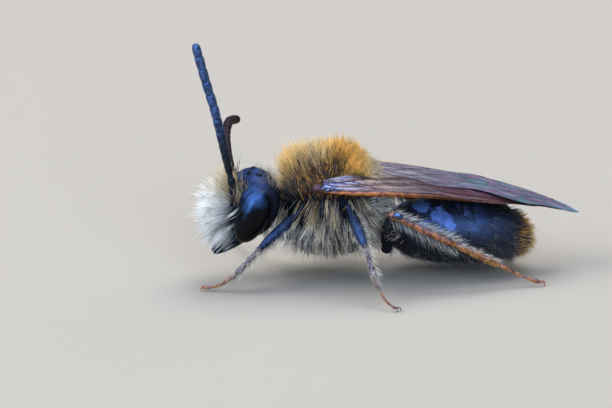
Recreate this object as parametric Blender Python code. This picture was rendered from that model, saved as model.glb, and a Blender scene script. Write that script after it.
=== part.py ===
"""A male mining bee at life size, standing with its wings folded.

The bee faces -X, its left side is -Y and +Z is up. Shapes are designed in millimetres on a
ground point below the thorax, and the whole animal is then moved so that the middle of its
bottom is the origin. The solids reach out to the tips of the coat.
"""

import math

import bmesh
import bpy
from mathutils import Matrix, Vector

MM = 0.001
GAP = 0.04

# Trunk: thorax with its coat, and the abdomen, both as hulls of rings along X.
THORAX_FRONT, THORAX_BACK = -1.02, 2.72
THORAX_AXIS, THORAX_TOP, THORAX_BELLY, THORAX_HALF_WIDTH = 2.35, 4.55, 0.33, 1.98
THORAX_CREST_X = 1.15
ABDOMEN_FRONT, ABDOMEN_BACK = 2.46, 7.34
ABDOMEN_TOP, ABDOMEN_BELLY, ABDOMEN_HALF_WIDTH = 2.56, 0.26, 1.45
ABDOMEN_CUTS = (3.42, 4.28, 5.12, 5.9, 6.6)
ABDOMEN_DROOP, TIP_DROOP = 0.12, 0.2
SEGMENT_STEP = 0.035

# Head: a hull of rings along its own upright axis, tilted back and turned to the left.
HEAD_CENTRE = Vector((-1.8, 0.0, 2.52))
HEAD_TILT, HEAD_TURN = math.radians(22), math.radians(7)
HEAD_HALF_HEIGHT, HEAD_HALF_WIDTH, HEAD_HALF_DEPTH = 1.16, 1.34, 0.78
EYE_PLACE, EYE_RADII = Vector((0.08, 1.02, -0.2)), Vector((0.52, 0.4, 0.95))
EYE_SPLAY = math.radians(8)
BEARD_PLACE, BEARD_RADII = Vector((0.72, 0.0, -0.32)), Vector((1.06, 0.98, 1.12))
JAW_ROOT, JAW_TIP = Vector((-0.03, 0.62, -1.02)), Vector((0.3, 0.14, -1.74))
JAW_RADII = (0.25, 0.13)

# Feelers.
FEELER_SOCKET = Vector((0.7, 0.26, 0.12))
FEELER_RADIUS = 0.23
FLAGELLUM_RADII = (0.21, 0.23, 0.23, 0.2)
ELBOW_GAP = 0.19
LEFT_FEELER = ((-2.42, -0.5, 3.62), (-2.62, -0.78, 4.4), (-2.86, -1.0, 5.33), (-3.1, -1.13, 6.2),
               (-3.32, -1.22, 6.95), (-3.66, -1.3, 8.24))
RIGHT_FEELER = ((-2.36, 0.5, 3.5), (-2.43, 1.2, 3.92), (-2.4, 2.0, 4.22), (-2.2, 3.0, 4.33),
                (-1.84, 3.78, 4.16))

# Legs, as joint places: hip, knee, shin end, ankle and foot. The right ones stand a little apart.
LEGS = {
    "fore_left": ((-0.25, -0.95, 2.5), (-1.66, -1.52, 1.4), (-2.44, -1.6, 0.62),
                  (-2.92, -1.53, 0.24), (-3.34, -1.34, 0.16)),
    "mid_left": ((1.2, -1.15, 2.75), (1.68, -2.4, 1.66), (1.8, -3.1, 0.97),
                 (2.06, -3.6, 0.42), (2.44, -3.98, 0.16)),
    "hind_left": ((2.4, -1.22, 0.98), (2.58, -1.84, 2.5), (4.62, -2.0, 1.5), (6.0, -1.95, 0.86),
                  (6.74, -1.88, 0.4), (7.42, -1.98, 0.16)),
    "fore_right": ((-0.25, 0.95, 2.5), (-1.08, 2.15, 1.72), (-1.5, 2.62, 0.86),
                   (-1.76, 2.88, 0.36), (-2.05, 3.15, 0.16)),
    "mid_right": ((1.2, 1.15, 2.75), (1.62, 2.4, 1.7), (1.72, 3.08, 1.0),
                  (1.9, 3.58, 0.42), (2.24, 3.98, 0.16)),
    "hind_right": ((2.4, 1.22, 0.98), (2.52, 1.88, 2.46), (4.4, 2.16, 1.42), (5.58, 2.36, 0.76),
                   (6.16, 2.5, 0.38), (6.8, 2.74, 0.16)),
}
THIGH_RADIUS, SHIN_RADIUS, FOOT_RADIUS = 0.27, 0.25, 0.235
HIND_CALF_EXTRA = 0.07
KNEE_ROUNDING = 0.34
TOE_LENGTH, TOE_RISE = 0.3, 0.015

# Wings, folded in one roof over the abdomen. Outlines are (x, y) of the right side.
ROOF_HEIGHT, ROOF_FALL, ROOF_START = 3.2, 0.022, 0.4
ROOF_ABOVE, ROOF_BELOW = 0.24, 0.23
FORE_EDGE = ((0.42, 1.42), (1.3, 1.64), (2.6, 1.6), (4.1, 1.38), (5.5, 1.16), (6.8, 0.86),
             (7.9, 0.52), (8.72, 0.16), (8.74, -0.02), (8.3, -0.3), (7.6, -0.62), (7.0, -0.74),
             (6.3, -0.66), (5.3, -0.5), (4.4, -0.46))
FORE_BASE = ((3.6, 0.16), (2.6, 0.72), (1.5, 1.02), (0.62, 1.2))
LEFT_TIP_X, LEFT_TAPER_START = 8.42, 6.0
LEFT_MARGIN, LEFT_MARGIN_START = 0.1, 5.0
PLATE_STEP = 0.8
HIND_INNER = ((4.05, -0.3), (3.5, -0.02), (2.6, 0.34), (1.7, 0.66), (1.15, 0.86))
HIND_OUTER = ((1.5, 0.96), (2.6, 0.64), (3.6, 0.07), (4.12, -0.26))

TEGULA_PLACE, TEGULA_RADII = Vector((0.12, -1.44, 3.34)), Vector((0.36, 0.26, 0.28))

SHADING_ANGLE = math.radians(40)
WELD = 0.0005

COLOURS = {
    "black_shell": ((0.012, 0.014, 0.02, 1), 0.25),
    "white_hair": ((0.72, 0.74, 0.74, 1), 0.8),
    "amber_hair": ((0.5, 0.27, 0.08, 1), 0.8),
    "eye": ((0.01, 0.01, 0.012, 1), 0.1),
    "wing": ((0.3, 0.25, 0.3, 1), 0.2),
    "brown_shell": ((0.12, 0.05, 0.03, 1), 0.3),
    "leg_brown": ((0.3, 0.15, 0.08, 1), 0.5),
}


def clear_scene():
    """Remove everything that the scene starts with."""
    for thing in list(bpy.data.objects):
        bpy.data.objects.remove(thing)


def material(name):
    """One plain material of COLOURS, made once."""
    found = bpy.data.materials.get(name)
    if found:
        return found
    colour, roughness = COLOURS[name]
    made = bpy.data.materials.new(name)
    made.use_nodes = True
    shader = made.node_tree.nodes["Principled BSDF"]
    shader.inputs["Base Color"].default_value = colour
    shader.inputs["Roughness"].default_value = roughness
    shader.inputs["Metallic"].default_value = 0.0
    return made


def add_object(name, bm, finish):
    """Turn a millimetre bmesh into a named object in metres, with outward normals."""
    bmesh.ops.remove_doubles(bm, verts=bm.verts, dist=WELD)
    bmesh.ops.recalc_face_normals(bm, faces=bm.faces)
    if bm.calc_volume(signed=True) < 0:
        bmesh.ops.reverse_faces(bm, faces=bm.faces)
    bmesh.ops.scale(bm, vec=(MM, MM, MM), verts=bm.verts)
    mesh = bpy.data.meshes.new(name)
    bm.to_mesh(mesh)
    bm.free()
    mesh.shade_smooth()
    mesh.set_sharp_from_angle(angle=SHADING_ANGLE)
    made = bpy.data.objects.new(name, mesh)
    bpy.context.scene.collection.objects.link(made)
    mesh.materials.append(material(finish))
    return made


def as_cutter(made):
    """Hide an object that only cuts others."""
    made.hide_render = True
    made.display_type = "WIRE"
    return made


def cut_by(target, cutter):
    """Take the cutter's room out of the target."""
    modifier = target.modifiers.new("clear " + cutter.name, "BOOLEAN")
    modifier.operation = "DIFFERENCE"
    modifier.object = cutter


def join_rings(bm, rings):
    """Bridge each ring of points to the next and close both ends."""
    loops = [[bm.verts.new(point) for point in ring] for ring in rings]
    for first, second in zip(loops, loops[1:]):
        count = len(first)
        for i in range(count):
            j = (i + 1) % count
            bm.faces.new((first[i], first[j], second[j], second[i]))
    bm.faces.new(reversed(loops[0]))
    bm.faces.new(loops[-1])


def swell(s, power):
    """A rounded profile: 1 in the middle of -1..1 and 0 at both ends."""
    return math.sqrt(max(0.0, 1.0 - abs(s) ** power))


def spread(count, end=0.995):
    """Stations from -end to end, closer together near the ends."""
    return [end * math.sin(math.pi * (i / (count - 1) - 0.5)) for i in range(count)]


# --- trunk -----------------------------------------------------------------------------------

def thorax_ring(s, sides=24):
    """One ring of the thorax at s, from -1 at the front to 1 at the back."""
    middle = (THORAX_FRONT + THORAX_BACK) / 2
    x = middle + s * (THORAX_BACK - THORAX_FRONT) / 2
    crest = (THORAX_CREST_X - middle) / (THORAX_BACK - middle)
    past_crest = (s - crest) / (1.0 + math.copysign(crest, crest - s))
    top = (THORAX_TOP - THORAX_AXIS) * swell(past_crest, 2.9)
    below = (THORAX_AXIS - THORAX_BELLY) * swell(s, 2.6)
    half = THORAX_HALF_WIDTH * swell(s, 2.5)
    ring = []
    for i in range(sides):
        angle = 2 * math.pi * i / sides
        rise = math.sin(angle)
        ring.append((x, half * math.cos(angle), THORAX_AXIS + rise * (top if rise > 0 else below)))
    return ring


def build_thorax():
    """The thorax with its coat."""
    bm = bmesh.new()
    join_rings(bm, [thorax_ring(s) for s in spread(15)])
    return add_object("thorax", bm, "amber_hair")


def abdomen_ring(x, grow=0.0, sides=22):
    """One ring of the abdomen at x."""
    middle = (ABDOMEN_FRONT + ABDOMEN_BACK) / 2
    s = (x - middle) / (ABDOMEN_BACK - middle)
    fullness = swell(s * 0.96 - 0.035, 2.7) if s < 0 else swell(s * 0.995, 2.5)
    droop = ABDOMEN_DROOP * (s + 0.3) + TIP_DROOP * max(0.0, s) ** 4
    centre = (ABDOMEN_TOP + ABDOMEN_BELLY) / 2 - droop
    half_height = (ABDOMEN_TOP - ABDOMEN_BELLY) / 2 * fullness + grow
    half_width = ABDOMEN_HALF_WIDTH * fullness + grow
    ceiling = roof_height(x) - ROOF_BELOW - GAP
    ring = []
    for i in range(sides):
        angle = 2 * math.pi * i / sides
        z = centre + half_height * math.sin(angle)
        ring.append((x, half_width * math.cos(angle), min(max(z, ABDOMEN_BELLY), ceiling)))
    return ring


def build_abdomen():
    """Six segments, each a little wider at its rear edge than the next one's front."""
    ends = (ABDOMEN_FRONT,) + ABDOMEN_CUTS + (ABDOMEN_BACK - 0.012,)
    for number, (start, stop) in enumerate(zip(ends, ends[1:]), 1):
        first = start + (GAP / 2 if number > 1 else 0.0)
        last = stop - (GAP / 2 if stop in ABDOMEN_CUTS else 0.0)
        steps = 4 if number < 6 else 8
        rings = []
        for i in range(steps):
            share = i / (steps - 1)
            if number == 6:
                share = math.sin(share * math.pi / 2)
            rings.append(abdomen_ring(first + (last - first) * share, SEGMENT_STEP * (share - 1)))
        bm = bmesh.new()
        join_rings(bm, rings)
        add_object(f"abdomen_segment_{number}", bm, "black_shell")


def waist_room():
    """The room in the thorax's coat that the front of the abdomen needs."""
    bm = bmesh.new()
    join_rings(bm, [abdomen_ring(ABDOMEN_FRONT - GAP + i * 0.2, GAP) for i in range(4)])
    return as_cutter(add_object("waist room", bm, "black_shell"))


# --- head ------------------------------------------------------------------------------------

def head_matrix():
    """From the head's own axes (face, left, crown) to the animal's."""
    face = Vector((-math.cos(HEAD_TILT), 0, math.sin(HEAD_TILT)))
    crown = Vector((math.sin(HEAD_TILT), 0, math.cos(HEAD_TILT)))
    left = Vector((0, -1, 0))
    turn = Matrix.Rotation(HEAD_TURN, 3, "Z")
    axes = Matrix((turn @ face, turn @ left, turn @ crown)).transposed()
    return Matrix.Translation(HEAD_CENTRE) @ axes.to_4x4()


def head_ring(s, grow=0.0, sides=22):
    """One ring of the head at s, from -1 at the mouth to 1 at the crown."""
    narrow = 1.0 - 0.16 * max(0.0, -s)
    half_width = HEAD_HALF_WIDTH * narrow * swell(s, 2.7) + grow
    half_depth = HEAD_HALF_DEPTH * swell(s, 2.4) + grow
    crown = s * (HEAD_HALF_HEIGHT + grow)
    angles = [2 * math.pi * i / sides for i in range(sides)]
    return [(half_depth * math.cos(a), half_width * math.sin(a), crown) for a in angles]


def in_head(bm):
    """Place what was shaped in the head's own axes."""
    bmesh.ops.transform(bm, matrix=head_matrix(), verts=bm.verts)
    return bm


def head_hull(grow=0.0):
    """The head's hull as a bmesh."""
    bm = bmesh.new()
    join_rings(bm, [head_ring(s, grow) for s in spread(11)])
    return in_head(bm)


def ellipsoid(place, radii, turn=None, segments=18, rings=10):
    """An ellipsoid as a bmesh, turned about its own centre."""
    bm = bmesh.new()
    bmesh.ops.create_uvsphere(bm, u_segments=segments, v_segments=rings, radius=1.0)
    bmesh.ops.scale(bm, vec=radii, verts=bm.verts)
    if turn:
        bmesh.ops.transform(bm, matrix=turn, verts=bm.verts)
    bmesh.ops.translate(bm, vec=place, verts=bm.verts)
    return bm


def mirrored(vector, side):
    """The vector, with its second part turned to the given side."""
    return Vector((vector[0], vector[1] * side, vector[2]))


def eye_shape(side, grow=0.0):
    """One compound eye: tall, narrow, and a little wider apart at the crown."""
    radii = EYE_RADII + Vector((grow, grow, grow))
    turn = Matrix.Rotation(-side * EYE_SPLAY, 4, "X")
    return in_head(ellipsoid(mirrored(EYE_PLACE, side), radii, turn))


def build_head():
    """Head, eyes, beard and jaws, each clear of the others."""
    head = add_object("head", head_hull(), "black_shell")
    beard = add_object("face_beard", in_head(ellipsoid(BEARD_PLACE, BEARD_RADII)), "white_hair")
    cut_by(beard, as_cutter(add_object("head room", head_hull(GAP), "black_shell")))
    for label, side in (("left", 1), ("right", -1)):
        add_object(f"eye_{label}", eye_shape(side), "eye")
        room = as_cutter(add_object(f"eye room {label}", eye_shape(side, GAP), "eye"))
        cut_by(head, room)
        cut_by(beard, room)
        jaw = (mirrored(JAW_ROOT, side), mirrored(JAW_TIP, side))
        add_object(f"mandible_{label}", in_head(tube(jaw, JAW_RADII)), "black_shell")
        grown = tuple(radius + GAP for radius in JAW_RADII)
        jaw_room = in_head(tube(jaw, grown, extend=GAP))
        room = as_cutter(add_object(f"jaw room {label}", jaw_room, "black_shell"))
        cut_by(head, room)
        cut_by(beard, room)
    return head, beard


# --- tubes -----------------------------------------------------------------------------------

def rounded_path(points, rounding, steps=4):
    """The points as a path whose corners are rounded, so that a tube can follow it."""
    points = [Vector(point) for point in points]
    path = [points[0]]
    for before, corner, after in zip(points, points[1:], points[2:]):
        first = min(rounding, (corner - before).length * 0.45)
        second = min(rounding, (after - corner).length * 0.45)
        start = corner + (before - corner).normalized() * first
        stop = corner + (after - corner).normalized() * second
        for i in range(steps + 1):
            t = i / steps
            path.append((1 - t) ** 2 * start + 2 * t * (1 - t) * corner + t * t * stop)
    path.append(points[-1])
    return path


def smooth_curve(points, steps=3):
    """A Catmull-Rom curve through the points."""
    points = [Vector(point) for point in points]
    padded = [2 * points[0] - points[1]] + points + [2 * points[-1] - points[-2]]
    path = []
    for p0, p1, p2, p3 in zip(padded, padded[1:], padded[2:], padded[3:]):
        for i in range(steps):
            t = i / steps
            path.append(0.5 * (2 * p1 + (p2 - p0) * t + (2 * p0 - 5 * p1 + 4 * p2 - p3) * t * t
                               + (3 * p1 - 3 * p2 + p3 - p0) * t ** 3))
    path.append(points[-1])
    return path


def tube(path, radii, extend=0.0, round_ends=(True, True), sides=8):
    """A tube along the path as a bmesh. Its radius runs through the given values."""
    path = [Vector(point) for point in path]
    path[0] = path[0] + (path[0] - path[1]).normalized() * extend
    path[-1] = path[-1] + (path[-1] - path[-2]).normalized() * extend
    lengths = [0.0]
    for first, second in zip(path, path[1:]):
        lengths.append(lengths[-1] + (second - first).length)
    tangents = [(path[min(i + 1, len(path) - 1)] - path[max(i - 1, 0)]).normalized()
                for i in range(len(path))]
    side = tangents[0].orthogonal().normalized()
    rings = []
    for i, (point, tangent) in enumerate(zip(path, tangents)):
        side = (side - tangent * side.dot(tangent)).normalized()
        across = tangent.cross(side)
        place = lengths[i] / lengths[-1] * (len(radii) - 1)
        low = min(int(place), len(radii) - 2)
        radius = radii[low] + (radii[low + 1] - radii[low]) * (place - low)
        stations = [(0.0, 1.0)]
        if i == 0 and round_ends[0]:
            stations = [(-0.5, 0.45), (-0.3, 0.82), (0.0, 1.0)]
        if i == len(path) - 1 and round_ends[1]:
            stations = [(0.0, 1.0), (0.3, 0.82), (0.5, 0.45)]
        for shift, share in stations:
            centre = point + tangent * radius * shift
            rings.append([centre + radius * share * (side * math.cos(2 * math.pi * k / sides)
                                                     + across * math.sin(2 * math.pi * k / sides))
                          for k in range(sides)])
    bm = bmesh.new()
    join_rings(bm, rings)
    return bm


def shorten(path, start, stop):
    """The path without its first start and last stop millimetres."""
    path = [Vector(point) for point in path]
    for end, length in ((0, start), (-1, stop)):
        inner = 1 if end == 0 else -2
        while length > 0 and (path[inner] - path[end]).length <= length:
            length -= (path[inner] - path[end]).length
            path.pop(end)
        path[end] = path[end] + (path[inner] - path[end]).normalized() * length
    return path


# --- feelers ---------------------------------------------------------------------------------

def build_feelers(head, beard):
    """Each feeler: a short scape from the face, then the long flagellum."""
    for label, side, course in (("left", 1, LEFT_FEELER), ("right", -1, RIGHT_FEELER)):
        socket = head_matrix() @ mirrored(FEELER_SOCKET, side)
        elbow = Vector(course[0])
        scape = shorten((socket, elbow), 0.0, ELBOW_GAP)
        scape_tube = tube(scape, (FEELER_RADIUS,) * 2, round_ends=(True, False))
        add_object(f"antenna_{label}_scape", scape_tube, "black_shell")
        flagellum = shorten(smooth_curve(course), 0.06, 0.0)
        add_object(f"antenna_{label}_flagellum", tube(flagellum, FLAGELLUM_RADII), "black_shell")
        long_room = tube([socket, elbow] + flagellum[1:4], (FEELER_RADIUS + GAP,) * 2, extend=GAP)
        room = as_cutter(add_object(f"feeler room {label}", long_room, "black_shell"))
        cut_by(head, room)
        cut_by(beard, room)


# --- legs ------------------------------------------------------------------------------------

def leg_parts(places):
    """The three stretches of one leg, on one rounded path that ends in a level toe."""
    points = [Vector(place) for place in places]
    level = Vector((points[-1].x - points[-2].x, points[-1].y - points[-2].y, 0)).normalized()
    points.insert(-1, points[-1] - level * TOE_LENGTH + Vector((0, 0, TOE_RISE)))
    path = rounded_path(points, KNEE_ROUNDING)
    knee = min(range(len(path)), key=lambda i: (path[i] - points[1]).length)
    ankle = min(range(len(path)), key=lambda i: (path[i] - points[2]).length)
    return path[:knee + 1], path[knee:ankle + 1], path[ankle:]


def flatten_sole(bm):
    """Cut the foot flat at the ground."""
    parts = bm.verts[:] + bm.edges[:] + bm.faces[:]
    cut = bmesh.ops.bisect_plane(bm, geom=parts, dist=1e-6, plane_co=(0, 0, 0), plane_no=(0, 0, 1),
                                 clear_inner=True)
    rim = [item for item in cut["geom_cut"] if isinstance(item, bmesh.types.BMEdge)]
    bmesh.ops.edgeloop_fill(bm, edges=rim)
    return bm


def build_legs(thorax):
    """Six legs, each a femur, a tibia and a tarsus that stands on a small flat."""
    for name, places in LEGS.items():
        femur, tibia, tarsus = leg_parts(places)
        calf = SHIN_RADIUS + (HIND_CALF_EXTRA if name.startswith("hind") else 0.0)
        thigh = (THIGH_RADIUS, THIGH_RADIUS, SHIN_RADIUS)
        femur_tube = tube(shorten(femur, 0.0, GAP / 2), thigh, round_ends=(True, False))
        tibia_tube = tube(shorten(tibia, GAP / 2, GAP / 2), (SHIN_RADIUS, calf, SHIN_RADIUS),
                          round_ends=(False, False))
        foot = tube(shorten(tarsus, GAP / 2, 0.0), (SHIN_RADIUS, FOOT_RADIUS), round_ends=(False, True))
        add_object(f"leg_{name}_femur", femur_tube, "black_shell")
        add_object(f"leg_{name}_tibia", tibia_tube, "leg_brown")
        add_object(f"leg_{name}_tarsus", flatten_sole(foot), "leg_brown")
        room = tube(femur[:2], (THIGH_RADIUS + GAP,) * 2, extend=GAP)
        cut_by(thorax, as_cutter(add_object(f"hip room {name}", room, "black_shell")))


# --- wings -----------------------------------------------------------------------------------

def roof_height(x):
    """Height of the folded wings' middle surface."""
    return ROOF_HEIGHT - ROOF_FALL * (x - ROOF_START) ** 2


def wing_plate(outline, grow=0.0):
    """A plate of the given (x, y) outline, bent to the roof's curve."""
    bm = bmesh.new()
    flat = [Vector((x, y, 0.0)) for x, y in outline]
    if grow:
        flat = grown_outline(flat, grow)
    bm.faces.new([bm.verts.new(point) for point in flat])
    first, last = min(p.x for p in flat), max(p.x for p in flat)
    steps = int((last - first) / PLATE_STEP) + 1
    for i in range(1, steps):
        parts = bm.verts[:] + bm.edges[:] + bm.faces[:]
        bmesh.ops.bisect_plane(bm, geom=parts, dist=1e-4,
                               plane_co=(first + (last - first) * i / steps, 0, 0), plane_no=(1, 0, 0))
    bmesh.ops.triangulate(bm, faces=bm.faces[:])
    raised = bmesh.ops.extrude_face_region(bm, geom=bm.faces[:])
    upper = {item for item in raised["geom"] if isinstance(item, bmesh.types.BMVert)}
    for vert in bm.verts:
        shift = ROOF_ABOVE + grow if vert in upper else -ROOF_BELOW - grow
        vert.co.z = roof_height(vert.co.x) + shift
    return bm


def grown_outline(points, grow):
    """The closed outline moved outwards by grow."""
    count = len(points)
    area = sum(points[i].x * points[(i + 1) % count].y - points[(i + 1) % count].x * points[i].y
               for i in range(count))
    turn = math.copysign(1.0, area)
    moved = []
    for i, point in enumerate(points):
        along = (points[(i + 1) % count] - points[i]).normalized()
        along += (point - points[i - 1]).normalized()
        along.normalize()
        moved.append(point + Vector((along.y, -along.x, 0)) * turn * grow)
    return moved


def flat_curve(points, steps=3):
    """A smooth curve through (x, y) points."""
    curve = smooth_curve([(x, y, 0.0) for x, y in points], steps)
    return [(point.x, point.y) for point in curve]


def left_forewing_point(x, y):
    """A point of the right forewing's outline, turned to the left wing, whose tip lies further in."""
    shorter = LEFT_TIP_X / FORE_EDGE[7][0]
    if x > LEFT_TAPER_START:
        x *= shorter
    margin = LEFT_MARGIN if x > LEFT_MARGIN_START and y > 0 else 0.0
    return x, -y - margin


def wing_outlines():
    """Outlines of the four wings: each forewing's costal side, and each hindwing's inner strip."""
    fore = flat_curve(FORE_EDGE) + flat_curve(FORE_BASE)
    hind = flat_curve(HIND_INNER) + flat_curve(HIND_OUTER)
    return {
        "forewing_right": fore,
        "hindwing_right": hind,
        "forewing_left": [left_forewing_point(x, y) for x, y in fore],
        "hindwing_left": [(x, -y) for x, y in hind],
    }


def build_wings(thorax):
    """Four wing plates in one roof. The right forewing lies over the left one's inner part."""
    outlines = wing_outlines()
    plates, rooms = {}, {}
    for name, outline in outlines.items():
        plates[name] = add_object(name, wing_plate(outline), "wing")
        rooms[name] = as_cutter(add_object("room of " + name, wing_plate(outline, GAP), "wing"))
        cut_by(thorax, rooms[name])
    cut_by(plates["forewing_left"], rooms["forewing_right"])
    cut_by(plates["forewing_left"], rooms["hindwing_right"])
    cut_by(plates["hindwing_left"], rooms["forewing_right"])
    cut_by(plates["hindwing_left"], rooms["hindwing_right"])


def build_tegulae(thorax):
    """The small shell over each wing's root."""
    for label, side in (("left", 1), ("right", -1)):
        place = mirrored(TEGULA_PLACE, side)
        add_object(f"tegula_{label}", ellipsoid(place, TEGULA_RADII, segments=14, rings=8), "brown_shell")
        grown = TEGULA_RADII + Vector((GAP, GAP, GAP))
        room = ellipsoid(place, grown, segments=14, rings=8)
        cut_by(thorax, as_cutter(add_object(f"tegula room {label}", room, "brown_shell")))


# --- the whole bee ---------------------------------------------------------------------------

def stand_on_origin():
    """Move the whole bee so that the middle of its bottom is the origin."""
    bpy.context.view_layer.update()
    graph = bpy.context.evaluated_depsgraph_get()
    corners = []
    for thing in bpy.data.objects:
        if not thing.hide_render:
            corners += [Vector(corner) for corner in thing.evaluated_get(graph).bound_box]
    low = Vector([min(corner[i] for corner in corners) for i in range(3)])
    high = Vector([max(corner[i] for corner in corners) for i in range(3)])
    bee = bpy.data.objects.new("bee", None)
    bpy.context.scene.collection.objects.link(bee)
    bee.location = (-(low.x + high.x) / 2, -(low.y + high.y) / 2, -low.z)
    for thing in bpy.data.objects:
        if thing is not bee:
            thing.parent = bee


def main():
    """Build every part."""
    clear_scene()
    thorax = build_thorax()
    build_abdomen()
    head, beard = build_head()
    cut_by(thorax, bpy.data.objects["head room"])
    build_feelers(head, beard)
    build_legs(thorax)
    build_wings(thorax)
    build_tegulae(thorax)
    cut_by(thorax, waist_room())
    stand_on_origin()


main()
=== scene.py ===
"""The looks of a male mining bee at life size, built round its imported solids.

The bee stands with folded wings. It faces -X, its left side is -Y and +Z is up. Every piece is
modelled in millimetres in the bee's own axes, whose origin lies on the floor below the thorax,
and is then settled into the frame in metres.
"""

import logging
import math
from dataclasses import dataclass, field, replace
from enum import Enum
from typing import Callable, Iterable, Optional, Sequence, Union

import bpy
import numpy as np
from mathutils import Matrix, Vector
from mathutils.kdtree import KDTree


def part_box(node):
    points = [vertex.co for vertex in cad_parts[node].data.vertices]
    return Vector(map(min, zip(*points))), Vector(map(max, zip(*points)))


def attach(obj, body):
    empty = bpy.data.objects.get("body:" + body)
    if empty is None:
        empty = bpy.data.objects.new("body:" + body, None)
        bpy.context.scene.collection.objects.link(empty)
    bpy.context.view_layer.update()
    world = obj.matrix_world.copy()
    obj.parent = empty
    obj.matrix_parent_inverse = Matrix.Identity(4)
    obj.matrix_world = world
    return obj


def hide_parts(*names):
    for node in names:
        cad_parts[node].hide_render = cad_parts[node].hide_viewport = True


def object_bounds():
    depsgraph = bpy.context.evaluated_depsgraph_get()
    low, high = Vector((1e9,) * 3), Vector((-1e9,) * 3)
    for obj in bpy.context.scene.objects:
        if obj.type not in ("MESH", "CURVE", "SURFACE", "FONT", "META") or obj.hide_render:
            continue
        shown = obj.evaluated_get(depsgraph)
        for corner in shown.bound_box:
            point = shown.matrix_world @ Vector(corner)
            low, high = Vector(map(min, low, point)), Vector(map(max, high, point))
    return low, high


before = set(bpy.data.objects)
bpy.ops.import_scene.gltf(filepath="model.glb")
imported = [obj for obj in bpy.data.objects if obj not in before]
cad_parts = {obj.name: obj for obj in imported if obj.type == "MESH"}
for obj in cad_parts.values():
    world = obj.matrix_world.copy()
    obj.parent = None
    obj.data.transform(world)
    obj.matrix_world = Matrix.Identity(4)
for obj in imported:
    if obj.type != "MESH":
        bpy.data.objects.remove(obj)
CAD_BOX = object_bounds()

log = logging.getLogger("bee")

Colour = tuple[float, float, float]
Place = tuple[float, float, float]
Array = np.ndarray
Piece = bpy.types.Object
Shape = tuple[Array, Array, Array]
Relief = tuple[float, float, float, float]

MM = 0.001
SMOOTH_ANGLE = math.radians(50)
WELD = 1e-5
LENGTHWISE = Matrix(((0, 0, 1, 0), (1, 0, 0, 0), (0, 1, 0, 0), (0, 0, 0, 1)))


class Side(Enum):
    """The bee's two sides, with the sign that turns a left-hand measure to that side."""

    LEFT = 1
    RIGHT = -1

    @property
    def label(self) -> str:
        """The side's word in piece and node names."""
        return self.name.lower()


class Tone(float, Enum):
    """Places on the hair's colour scale."""

    SOOT = 0.0
    SMOKE = 0.1
    BROWN = 0.2
    AMBER = 0.4
    GOLD = 0.55
    BUFF = 0.75
    WHITE = 1.0


SOOT, SMOKE, BROWN, AMBER, GOLD, BUFF, WHITE = Tone


# --- measures and curves ---

def swell(s: float, power: float) -> float:
    """A rounded profile: 1 in the middle of -1..1 and 0 at both ends."""
    return math.sqrt(max(0.0, 1.0 - abs(s) ** power))


def spread(count: int, end: float = 0.985) -> list[float]:
    """Stations from -end to end, closer together near the ends."""
    return [end * math.sin(math.pi * (i / (count - 1) - 0.5)) for i in range(count)]


def ease(low: float, high: float, values: Array) -> Array:
    """A smooth step from 0 at low to 1 at high."""
    share = np.clip((values - low) / (high - low), 0.0, 1.0)
    return share * share * (3.0 - 2.0 * share)


def bump_at(offset: Array, width: float) -> Array:
    """A round bump of height 1 and the given half width."""
    return np.exp(-((offset / width) ** 2))


def unit(vectors: Array) -> Array:
    """The vectors at length 1."""
    return vectors / np.maximum(np.linalg.norm(vectors, axis=-1, keepdims=True), 1e-9)


def fetch(items: bpy.types.bpy_prop_collection, key: str, kind: type = np.float32) -> Array:
    """Three numbers of each item of a mesh, one row each."""
    numbers = np.empty(len(items) * 3, kind)
    items.foreach_get(key, numbers)
    return numbers.reshape(-1, 3)


def smooth_curve(points: Sequence[Sequence[float]], steps: int = 8) -> Array:
    """A Catmull-Rom curve through the points.

    Args:
        points: The places it passes.
        steps: Stretches between two of them.

    Returns:
        The curve's points, one row each.
    """
    places = np.array(points, float)
    padded = np.vstack([2 * places[0] - places[1], places, 2 * places[-1] - places[-2]])
    share = np.arange(steps)[:, None] / steps
    rows = []
    for p0, p1, p2, p3 in zip(padded, padded[1:], padded[2:], padded[3:]):
        rows.append(0.5 * (2 * p1 + (p2 - p0) * share + (2 * p0 - 5 * p1 + 4 * p2 - p3) * share ** 2
                           + (3 * p1 - 3 * p2 + p3 - p0) * share ** 3))
    return np.vstack(rows + [places[-1:]])


def along_path(path: Array, shares: Sequence[float]) -> Array:
    """The points at the given shares of a path's length."""
    steps = np.linalg.norm(np.diff(path, axis=0), axis=1)
    run = np.concatenate([[0.0], np.cumsum(steps)]) / steps.sum()
    return np.stack([np.interp(shares, run, path[:, i]) for i in range(3)], axis=1)


def aim(start: Sequence[float], end: Sequence[float]) -> Matrix:
    """The matrix whose Z runs from start to end, with X level and Y on the upper side."""
    along = (Vector(end) - Vector(start)).normalized()
    level = Vector((0, 0, 1)).cross(along)
    level = level.normalized() if level.length > 1e-4 else Vector((1, 0, 0))
    upper = along.cross(level)
    axes = Matrix((level, upper, along)).transposed().to_4x4()
    return Matrix.Translation(Vector(start)) @ axes


# --- the frame ---

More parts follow.
